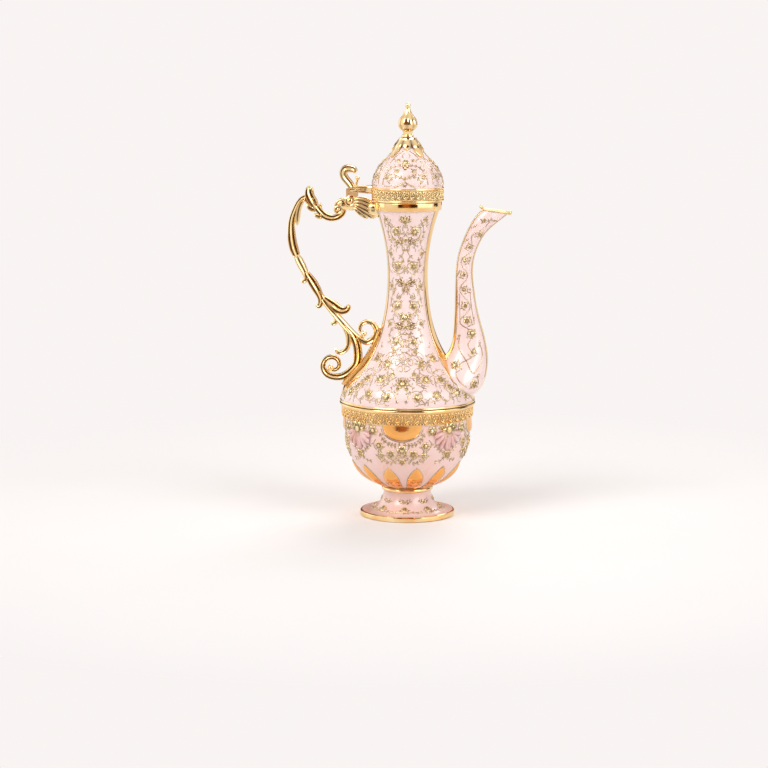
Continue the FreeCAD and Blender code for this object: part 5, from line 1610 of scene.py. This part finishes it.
def dress_dome(panel):
    """A quarter of the dome: gable over the band, fronds, a trefoil with wings, and an arched frame."""
    panel.line([(0.0, 220.4), (3.0, 218.5), (7.2, 216.9)], 1.9)
    panel.leaf(0.4, 217.0, 78, 2.6)
    panel.garland([(1.0, 222.2), (4.6, 223.9), (8.6, 222.6), (11.4, 219.6)], 2.1, 1.1, 2.6)
    panel.blossom("daisy", 0.0, 222.6, 1.3)
    panel.coil("daisy", 12.2, 223.2, 1.5, 2.9, 200, -1, leaf=1.7)
    panel.coil("daisy", 5.2, 227.0, 1.3, 2.5, 250, 1, leaf=1.6)
    panel.blossom("rosette", 0.0, 232.2, 2.1)
    panel.blossom("daisy", 4.7, 233.4, 1.4)
    for heading, size in ((-90, 4.2), (-50, 3.4), (-15, 3.0)):
        panel.leaf(0.4, 230.9, heading, size)
    panel.garland([(1.6, 231.0), (5.4, 230.4), (9.4, 229.2), (12.6, 226.6)], 2.0, 1.1, 3.0)
    panel.line([(2.0, 239.4), (6.6, 236.4), (10.4, 232.6), (14.2, 226.4), (15.8, 218.4)], 1.1, 26)
    panel.line([(8.8, 218.0), (11.0, 217.3), (14.2, 217.6)], 1.0)
    panel.tendril(1.8, 235.2, 50, 4.4, 0.1, 0.9)
    panel.tendril(8.2, 234.4, 200, 3.6, 0.1, 0.9)


TONGUES = 12
SCALLOPS = 4
SCALLOP_HALF = 12.6
SCALLOP_RIM = (65.4, 9.6)  # top and drop
SCALLOP_PLATE = (65.5, 9.5)


def tongue_outline(share):
    """Half width and height of a tongue at the bowl's base, at a share of the way up."""
    return 4.9 * (1 - max(share - 0.45, 0.0) ** 2 * 3.3) * (0.8 + 0.2 * min(share * 3, 1.0)), 20.6 + 16.4 * share


def scallop_edge(angle, top, drop):
    """Half width and height of a scallop under the band, at an angle in degrees from its lowest point."""
    angle = math.radians(angle)
    return SCALLOP_HALF * math.sin(angle), top - drop * math.cos(angle) ** 0.9


def dress_bowl(ornament, skin, wire, scale):
    """Gold scallops under the band, petalled flowers between them, vines below and tongues at the base."""
    scallops = EnamelPanel(ornament, skin, round_copies(SCALLOPS), wire, scale)
    rim = [scallop_edge(angle, *SCALLOP_RIM) for angle in range(0, 91, 10)]
    scallops.line(rim, 1.7, 30)
    scallops.line([(aside * 1.12, height - 1.2 * (1 - aside / 14)) for aside, height in rim[:-1]], 0.9, 30)
    scallops.coil("rosette", 19.6, 61.6, 3.0, 4.4, 100, -1, 300)
    scallops.garland([(14.6, 60.6), (11.4, 55.0), (5.0, 52.6), (1.0, 53.0)], 2.4)
    scallops.coil("daisy", 7.2, 46.6, 2.8, 5.0, 120, 1)
    scallops.coil("rosette", 15.4, 52.0, 2.4, 4.4, 60, -1)
    scallops.blossom("rosette", 0.0, 49.4, 3.0)
    scallops.blossom("daisy", 0.0, 41.4, 2.2)
    scallops.garland([(0.6, 47.0), (3.0, 43.0), (8.0, 40.4), (12.6, 42.4)], 2.2)
    scallops.coil("daisy", 13.8, 45.2, 2.0, 3.6, 220, 1)
    flowers = EnamelPanel(ornament, skin, round_copies(SCALLOPS, FRONT + math.pi / SCALLOPS), wire, scale)
    flowers.blossom("rosette", 0.0, 61.6, 4.8)
    flowers.blossom("daisy", 5.4, 63.4, 2.2)
    flowers.blossom("daisy", 4.6, 58.6, 1.8)
    for heading, size in ((-90, 12.8), (-66, 12.6), (-42, 12.0), (-18, 10.8)):
        flowers.leaf(0.8, 60.8, heading, size, "petal")
    flowers.blossom("daisy", 0.0, 45.2, 2.6)
    flowers.garland([(0.8, 45.6), (5.0, 47.8), (9.6, 52.0)], 2.2)
    flowers.garland([(0.8, 44.4), (4.6, 41.0), (8.4, 40.6)], 2.0)
    tongues = EnamelPanel(ornament, skin, round_copies(TONGUES, FRONT + math.pi / TONGUES), wire, scale)
    tongues.line([tongue_outline(share) for share in shares(14)] + [(0.0, 37.2)], 1.5, 40)


def dress_foot(panel):
    panel.coil("daisy", 0.0, 6.2, 2.0, 3.4, -150, 1, 320, 1.8)
    panel.garland([(0.4, 4.4), (5.2, 4.9), (9.8, 4.4)], 1.9)
    panel.leaf(0.3, 9.8, 62, 3.4)
    panel.leaf(0.3, 9.8, 20, 2.8)
    panel.tendril(1.0, 9.6, 10, 5.0, 0.1, 0.8, leaf=1.6)


BODY_SKIN_STEPS = 160


class COFFEEPOT_OT_ornament(bpy.types.Operator):
    """Draw the wire vines and set the blossoms and leaves on the enamel"""

    bl_idname = "coffeepot.ornament"
    bl_label = "Vines and Blossoms"

    def execute(self, context):
        sizes = context.scene.pot_ornament
        wire, scale = sizes.wire_radius, sizes.blossom
        pot, lid = Ornament(), Ornament()
        body = Skin(body_outside(BODY_SKIN_STEPS))
        panel = EnamelPanel(pot, body, round_copies(2), wire, scale)
        dress_neck(panel)
        fine_vines(panel, sizes.seed)
        dress_skirt(panel, sizes.seed)
        dress_spout(EnamelPanel(pot, SpoutSkin(), ((FRONT, 1), (BACK, -1)), wire, scale))
        dress_bowl(pot, Skin(BOWL_OUTSIDE), wire, scale)
        dress_foot(EnamelPanel(pot, Skin(FOOT_FLARE), round_copies(8), wire, scale))
        dress_dome(EnamelPanel(lid, Skin(dome_outside()), round_copies(4), wire, scale))
        self.draw_seams(pot, body, sizes.seam_radius)
        for name, ornament in (("pot", pot), ("lid", lid)):
            fitted(wire_piece(f"{name}_vines", ornament.lines, "wire"), name, "cast_gold")
            # Painted shade: a wider brown line under each wire
            fitted(wire_piece(f"{name}_vine_outlines", ornament.wire_shades, "wire_shade"), name, "pink_enamel")
            for shape in sorted(ornament.marks):
                paint = {"petal": "petal", "leaf": "wire"}.get(shape, "blossom")
                slot = "pink_enamel" if shape == "petal" else "cast_gold"
                fitted(set_piece(f"{name}_{shape}s", shape, ornament.marks[shape], paint), name, slot)
        return {"FINISHED"}

    @staticmethod
    def draw_seams(pot, body, radius):
        """Rolled wire on both edges of the side bands and of the spout's stripes."""
        low, high = 77.6, NECK_Z - 0.6
        heights = [between(low, high, share) for share in shares(110)]
        for hand in (-1, 1):
            for middle in (0.0, math.pi):
                path = [(middle + hand * seam(height), body.length_at(height)) for height in heights]
                pot.draw(body, path, radius, 0.0)
        spout = SpoutSkin()
        lengths = [between(spout.length_at(97.0), spout.reach - 0.4, share) for share in shares(70)]
        for stripe, middle, finer in ((inner_stripe, math.pi, 0.7), (lambda length: OUTER_STRIPE, 0.0, 0.6)):
            for hand in (-1, 1):
                path = [(middle + hand * stripe_half(stripe(length), spout.spread(length)), length)
                        for length in lengths]
                pot.draw(spout, path, radius * finer, 0.0)


WAIST_MARKS = (
    # form, height over the band's middle, count, size, heading, start in steps
    ("curl", -1.2, 44, 3.6, 0.0, 0.0), ("curl", 1.2, 44, 3.6, 180.0, 0.5),
    ("leaf", 0.6, 44, 3.4, 60.0, 0.22), ("leaf", -0.6, 44, 3.4, 240.0, 0.72),
    ("leaf", 1.2, 44, 2.6, 110.0, 0.95), ("leaf", -1.2, 44, 2.6, 290.0, 0.45),
    ("bead", 2.9, 132, 0.45, 90.0, 0.0), ("bead", -2.9, 132, 0.45, 90.0, 0.0),
)
LID_MARKS = (
    ("bead", -2.65, 150, 0.4, 90.0, 0.0), ("bead", 2.65, 150, 0.4, 90.0, 0.0),
    ("curl", -1.1, 34, 3.1, 0.0, 0.0), ("curl", 1.1, 34, 3.1, 180.0, 0.5),
    ("leaf", 0.6, 34, 2.9, 60.0, 0.22), ("leaf", -0.6, 34, 2.9, 240.0, 0.72),
)


class COFFEEPOT_OT_bands(bpy.types.Operator):
    """Chase the lid's band and the waist band: beads, curls and leaves"""

    bl_idname = "coffeepot.bands"
    bl_label = "Chased Bands"

    half = 2.0  # of the strip of surface that a row of marks lies on

    def execute(self, context):
        waist = (BAND_LOW + BAND_HIGH) / 2
        for name, body, paint, radius, middle, rows in (
                ("waist_band", "pot", "amber", band_side(waist) + BAND_ROOM + BAND_FACE, waist, WAIST_MARKS),
                ("lid_band", "lid", "cast", LID_RADIUS, (LID_Z + DOME_Z) / 2, LID_MARKS)):
            ornament = Ornament()
            for shape, rise, count, size, heading, start in rows:
                skin = Skin([(radius, middle + rise - self.half), (radius, middle + rise + self.half)])
                for index in range(count):
                    ornament.mark(shape, skin, TAU * (index + start) / count, self.half, size, heading)
            for shape in sorted(ornament.marks):
                fitted(set_piece(f"{name}_{shape}s", shape, ornament.marks[shape], paint), body, "chased_gold")
        return {"FINISHED"}


class COFFEEPOT_OT_scallops(bpy.types.Operator):
    """Lay the mirror-gold scallops under the bowl's rim and the tongues at its base"""

    bl_idname = "coffeepot.scallops"
    bl_label = "Gold Scallops and Tongues"

    rows = 14
    columns = 16

    def execute(self, context):
        shell = bmesh.new()
        skin = Skin(BOWL_OUTSIDE)
        for turn in round_angles(SCALLOPS):
            self.plate(shell, skin, FRONT + turn, lambda share: scallop_edge(between(90, 2, share), *SCALLOP_PLATE))
        for turn in round_angles(TONGUES):
            self.plate(shell, skin, FRONT + math.pi / TONGUES + turn, tongue_outline)
        # Painted reflection: the scallops and tongues take the gold with the tray's orange painted in
        fitted(finished("bowl_scallops", shell, ["deep"]), "pot", "turned_gold")
        return {"FINISHED"}

    def plate(self, shell, skin, middle, outline):
        """A thin plate that swells a little off the bowl: outline gives its half width and height."""
        rings = []
        for share in shares(self.rows):
            wide, height = outline(share)
            length = skin.length_at(height)
            swell = 1.3 * math.sin(math.pi * (0.08 + 0.84 * share))
            across = [-1 + 2 * column for column in shares(self.columns)]
            face = [(place, 0.25 + swell * (1 - place ** 2)) for place in across]
            back = [(place, -0.3) for place in across[::-1]]
            rings.append([shell.verts.new(skin.at(middle + wide * place / skin.spread(length), length, lift)[0])
                          for place, lift in face + back])
        ring_faces(shell, rings)


class COFFEEPOT_OT_stones(bpy.types.Operator):
    """Cut the stones and close their gold collets round them"""

    bl_idname = "coffeepot.stones"
    bl_label = "Stones"

    sides = 8
    facets = ((1.0, 0.0, 0.0), (1.0, 0.14, 0.0), (0.84, 0.38, 0.5), (0.56, 0.6, 0.0))  # reach, rise, shift in sides
    beads = 10
    facet_angle = math.radians(8)

    def execute(self, context):
        skin = Skin(body_outside(BODY_SKIN_STEPS))
        stones = bmesh.new()
        collets = Ornament()
        for face in (FRONT, BACK):
            for radius, height, aside in STONES:
                turn, length = face + math.radians(aside), skin.length_at(height)
                self.cut_stone(stones, *skin.at(turn, length, 0.05), radius)
                for angle in round_angles(self.beads):
                    collets.mark("bead", skin, turn + 1.08 * radius * math.cos(angle) / skin.spread(length),
                                 length + 1.08 * radius * math.sin(angle), 0.24 * radius + 0.1)
        fitted(finished("dressed_crystals", stones, ["stone"], self.facet_angle), "pot", "crystal", "crystals")
        fitted(set_piece("stone_collets", "bead", collets.marks["bead"], "wire"), "pot", "cast_gold")
        return {"FINISHED"}

    def cut_stone(self, shell, point, normal, radius):
        swing = normal.to_track_quat("Z", "Y")
        ring_faces(shell, [
            [shell.verts.new(point + swing @ turned(radius * reach, TAU * (side + shift) / self.sides, radius * rise))
             for side in range(self.sides)] for reach, rise, shift in self.facets])


BRACKET_LOBES = (
    ((-35.4, 207.2), (-29.4, 207.2), (-22.8, 204.4)), ((-34.8, 205.8), (-28.8, 204.8), (-21.6, 200.8)),
    ((-34.4, 204.4), (-28.6, 202.0), (-20.4, 197.4)), ((-34.0, 203.2), (-29.4, 200.2), (-21.4, 195.2)),
    ((-34.4, 202.0), (-31.4, 199.4), (-25.6, 195.2)),
)
BRACKET_LINK = ((-47.0, 202.4), (-45.4, 205.2), (-42.2, 206.6), (-39.8, 205.4))
BRACKET_EYE = Vector((-45.0, 0, 200.9))
# Off the hinge: out and up
THUMB_CURL = ((1.6, 7.9), (-1.6, 12.5), (-4.3, 16.5), (-3.6, 20.0), (-0.4, 20.9), (2.6, 19.6), (2.7, 17.7))
THUMB_WIDTHS = (4.4, 4.8, 4.9, 5.2, 5.4, 4.9, 3.4)
ARM_RIBS = (((-1.0, 8.2), (7.0, 8.9), (14.6, 8.1)), ((0.5, 6.7), (7.0, 6.4), (14.6, 5.7)))


def off_hinge(points):
    return [HINGE + point for point in upright(points)]


def disc_ring(shell, layer, centre, radius, thick, side):
    """A rolled ring that stands on a side face of the hinge."""
    rings = []
    for turn in round_angles(24):
        out = Vector((math.cos(turn), 0, math.sin(turn)))
        ring = []
        for angle in round_angles(8):
            rise = Vector((0, side * thick * math.sin(angle), 0))
            ring.append(shell.verts.new(centre + out * (radius + thick * math.cos(angle)) + rise))
            # Painted shade on the inside of the ring
            ring[-1][layer] = 0.7 if math.cos(angle) < -0.5 else 0.0
        rings.append(ring)
    ring_faces(shell, rings + rings[:1], closed=False)


class COFFEEPOT_OT_hinge(bpy.types.Operator):
    """Dress the hinge: leaf lobes and eyes on its bracket, ribs and the thumb curl on the lid's arm"""

    bl_idname = "coffeepot.hinge"
    bl_label = "Hinge Leaf and Thumb Curl"

    def execute(self, context):
        leaf, layer = new_shell()
        for side in (-1, 1):
            out = Vector((0, side, 0))
            for index, lobe in enumerate(BRACKET_LOBES):
                stand = 4.3 + 0.25 * (2 - abs(index - 2))
                fluted_scroll(leaf, layer, upright(lobe), (2.0, 3.3, 2.0), 0.9, 1, side * stand)
            disc_ring(leaf, layer, HINGE + out * 4.5, 2.75, 0.6, side)
            # The eye's ball gets a little painted shade
            ball(leaf, layer, BRACKET_EYE + out * 3.2, 1.5, 0.2)
            disc_ring(leaf, layer, BRACKET_EYE + out * 3.6, 2.3, 0.75, side)
            fluted_scroll(leaf, layer, upright(BRACKET_LINK), (2.0, 3.0, 3.0, 2.0), 0.8, 1, side * 3.6)
        fitted(finished("hinge_leaf", leaf, ["cast"]), "pot", "cast_gold")
        curl, layer = new_shell()
        fluted_scroll(curl, layer, off_hinge(THUMB_CURL), THUMB_WIDTHS, 1.7, 2, flute=0.2)
        for side in (-1, 1):
            for rib in ARM_RIBS:
                fluted_scroll(curl, layer, off_hinge(rib), (1.6, 2.2, 2.4), 0.9, 1, side * 1.6)
        fitted(finished("thumb_curl", curl, ["cast"]), "lid", "cast_gold")
        return {"FINISHED"}


class COFFEEPOT_OT_fittings(bpy.types.Operator):
    """Give the pieces that keep their own solids their finishes"""

    bl_idname = "coffeepot.fittings"
    bl_label = "Hinge, Plate and Screw"

    paints = {"base_plate": "turned", "hinge_bracket": "cast", "hinge_pin": "turned", "lid_arm": "cast",
              "lid_plug": "turned", "finial_screw": "steel", "finial_washer": "steel"}

    def execute(self, context):
        for part, paint in self.paints.items():
            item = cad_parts[part]
            item.data.materials.clear()
            item.data.materials.append(finish(paint))
        return {"FINISHED"}


# Stage
def ray_share(tree):
    """1 for rays from the camera, or that reach it by mirror or glass, 0 for the rest."""
    path = node(tree, "ShaderNodeLightPath", {})
    seen = worked(tree, "MAXIMUM", path["Is Camera Ray"], path["Is Glossy Ray"])
    return worked(tree, "MAXIMUM", seen, path["Is Transmission Ray"])


def stage_world(look):
    world = bpy.data.worlds.new("studio")
    world.use_nodes = True
    tree = world.node_tree
    lit = feed(tree, tree.nodes["Background"], {"Color": (1.0, 0.98, 0.96, 1.0), "Strength": look.sky})
    plain = node(tree, "ShaderNodeBackground", {"Color": (*look.backdrop, 1.0)})
    both = blended_shader(tree, ray_share(tree), lit.outputs[0], plain[0])
    feed(tree, tree.nodes["World Output"], {"Surface": both})
    bpy.context.scene.world = world


def floor_material(look):
    """Pale floor that keeps the shadow near the pot and runs out into the backdrop."""
    material, tree, shader, place = new_finish("floor")
    cloud = placed_group(tree, bpy.data.node_groups["Cloudy tone"], Vector=place, Scale=6.0)["Mask"]
    low = tuple(0.97 * part for part in look.floor)
    feed(tree, shader, {"Base Color": mixed(tree, cloud, look.floor, low), "Roughness": 0.7})
    glow = node(tree, "ShaderNodeEmission", {"Color": (*look.backdrop, 1.0)})
    reach = node(tree, "ShaderNodeVectorMath", {0: place}, operation="LENGTH")
    far = worked(tree, "MULTIPLY", ranged(tree, reach["Value"], 0.0, 1.0, 0.12, 0.42), ray_share(tree))
    both = blended_shader(tree, far, shader.outputs[0], glow[0])
    feed(tree, tree.nodes["Material Output"], {"Surface": both})
    return material


def card_material(name, strength, tone, edge=None):
    """Glowing card or flag that only mirrors see, its glow a painted reflection, with another tone at its edges if
    there is one.
    """
    material, tree, _, place = new_finish(name)
    shown = (*tone, 1.0)
    if edge:
        off = worked(tree, "ABSOLUTE", node(tree, "ShaderNodeSeparateXYZ", {0: place})["X"])
        shown = mixed(tree, ranged(tree, off, 0.0, 1.0, 0.3, 0.8), tone, edge)
    glow = node(tree, "ShaderNodeEmission", {"Color": shown, "Strength": strength})
    feed(tree, tree.nodes["Material Output"], {"Surface": glow[0]})
    return material


# Glowing cards that only mirrors see: painted reflections, brown for dark surroundings and white for bright ones
CARDS = (
    # turn in degrees from +X, half width in degrees, height, white or brown
    (-85.0, 33.0, 3.6, "brown"), (95.0, 26.0, 2.4, "brown"), (-22.0, 28.0, 1.8, "white"),
    (26.0, 12.0, 1.8, "brown"), (160.0, 28.0, 1.8, "white"),
)
CARD_REACH = 2.7
CARD_STEPS = 12
LIGHTS = (
    # name, place, size, which power
    ("key_light", (-1.1, -1.3, 1.6), 1.4, "key"), ("fill_light", (1.4, -1.0, 1.1), 1.3, "fill"),
    ("back_light", (0.3, 1.5, 1.5), 1.4, "fill"),
)
LIGHT_AIM = Vector((0, 0, 0.12))
FLOOR_RADIUS = 6.0
FLOOR_DROP = 0.0002
SENSOR_WIDTH = 36.0
CAMERA_TURN = math.radians(5)
CAMERA_DIP = math.radians(8.831)
CAMERA_SWING = math.radians(0.551)  # off the pot's axis, as the pot stands off the photo's middle


class COFFEEPOT_OT_stage(bpy.types.Operator):
    """Lay the floor, hang the lights and flags, and set the camera"""

    bl_idname = "coffeepot.stage"
    bl_label = "Stage"

    def execute(self, context):
        look = context.scene.pot_stage
        stage_world(look)
        self.lay_floor(look)
        self.hang_cards()
        for name, place, size, power in LIGHTS:
            lamp = bpy.data.lights.new(name, "AREA")
            lamp.shape = "DISK"
            lamp.size = size
            lamp.energy = getattr(look, power)
            item = new_object(name, lamp)
            item.location = place
            item.rotation_euler = (LIGHT_AIM - item.location).to_track_quat("-Z", "Y").to_euler()
        self.set_camera(look)
        context.scene.view_settings.view_transform = "Standard"
        return {"FINISHED"}

    @staticmethod
    def lay_floor(look):
        shell = bmesh.new()
        bmesh.ops.create_circle(shell, cap_ends=True, segments=96, radius=FLOOR_RADIUS)
        mesh = bpy.data.meshes.new("floor")
        shell.to_mesh(mesh)
        shell.free()
        mesh.materials.append(floor_material(look))
        floor = new_object("floor", mesh)
        floor.location.z = -FLOOR_DROP

    @staticmethod
    def hang_cards():
        materials = {"brown": card_material("brown_flag", 1.0, (0.40, 0.15, 0.055), (0.05, 0.022, 0.012)),
                     "white": card_material("white_card", 1.5, (1.0, 0.99, 0.97))}
        for index, (middle, half, tall, tone) in enumerate(CARDS):
            turns = [math.radians(between(middle - half, middle + half, share)) for share in shares(CARD_STEPS)]
            points = [turned(CARD_REACH, turn, height) for turn in turns for height in (0.0, tall)]
            faces = [(first, first + 1, first + 3, first + 2) for first in range(0, 2 * CARD_STEPS, 2)]
            mesh = bpy.data.meshes.new(f"flag_{index}")
            mesh.from_pydata(points, [], faces)
            mesh.materials.append(materials[tone])
            card = new_object(f"flag_{index}", mesh)
            card.visible_camera = False
            card.visible_diffuse = False
            card.visible_shadow = False

    @staticmethod
    def set_camera(look):
        lens = bpy.data.cameras.new("camera")
        lens.lens = look.lens
        lens.sensor_width = SENSOR_WIDTH
        camera = new_object("camera", lens)
        camera.location = turned(look.camera_reach, FRONT + CAMERA_TURN, look.camera_height)
        camera.rotation_euler = (math.pi / 2 - CAMERA_DIP, 0, CAMERA_TURN + CAMERA_SWING)
        bpy.context.scene.camera = camera


OPERATORS = (
    COFFEEPOT_OT_turned, COFFEEPOT_OT_spout, COFFEEPOT_OT_handle, COFFEEPOT_OT_cap, COFFEEPOT_OT_fittings,
    COFFEEPOT_OT_hinge, COFFEEPOT_OT_scallops, COFFEEPOT_OT_ornament, COFFEEPOT_OT_bands, COFFEEPOT_OT_stones,
    COFFEEPOT_OT_stage,
)


class COFFEEPOT_PT_sidebar(bpy.types.Panel):
    """Lists the pieces of the coffee pot"""

    bl_idname = "COFFEEPOT_PT_sidebar"
    bl_label = "Coffee Pot"
    bl_space_type = "VIEW_3D"
    bl_region_type = "UI"
    bl_category = "Coffee Pot"

    def draw(self, context):
        for operator in OPERATORS:
            self.layout.operator(operator.bl_idname)
        for group in (context.scene.pot_finish, context.scene.pot_ornament, context.scene.pot_stage):
            box = self.layout.box()
            for name in group.__annotations__:
                box.prop(group, name)


CLASSES = (CoffeePotFinish, CoffeePotOrnament, CoffeePotStage) + OPERATORS + (COFFEEPOT_PT_sidebar,)


def register():
    for item in CLASSES:
        bpy.utils.register_class(item)
    bpy.types.Scene.pot_finish = bpy.props.PointerProperty(type=CoffeePotFinish)
    bpy.types.Scene.pot_ornament = bpy.props.PointerProperty(type=CoffeePotOrnament)
    bpy.types.Scene.pot_stage = bpy.props.PointerProperty(type=CoffeePotStage)


def unregister():
    for name in ("pot_finish", "pot_ornament", "pot_stage"):
        delattr(bpy.types.Scene, name)
    for item in reversed(CLASSES):
        bpy.utils.unregister_class(item)


def main():
    register()
    for operator in OPERATORS:
        group, name = operator.bl_idname.split(".")
        getattr(getattr(bpy.ops, group), name)()
    clear_forms()


if __name__ == "__main__":
    main()
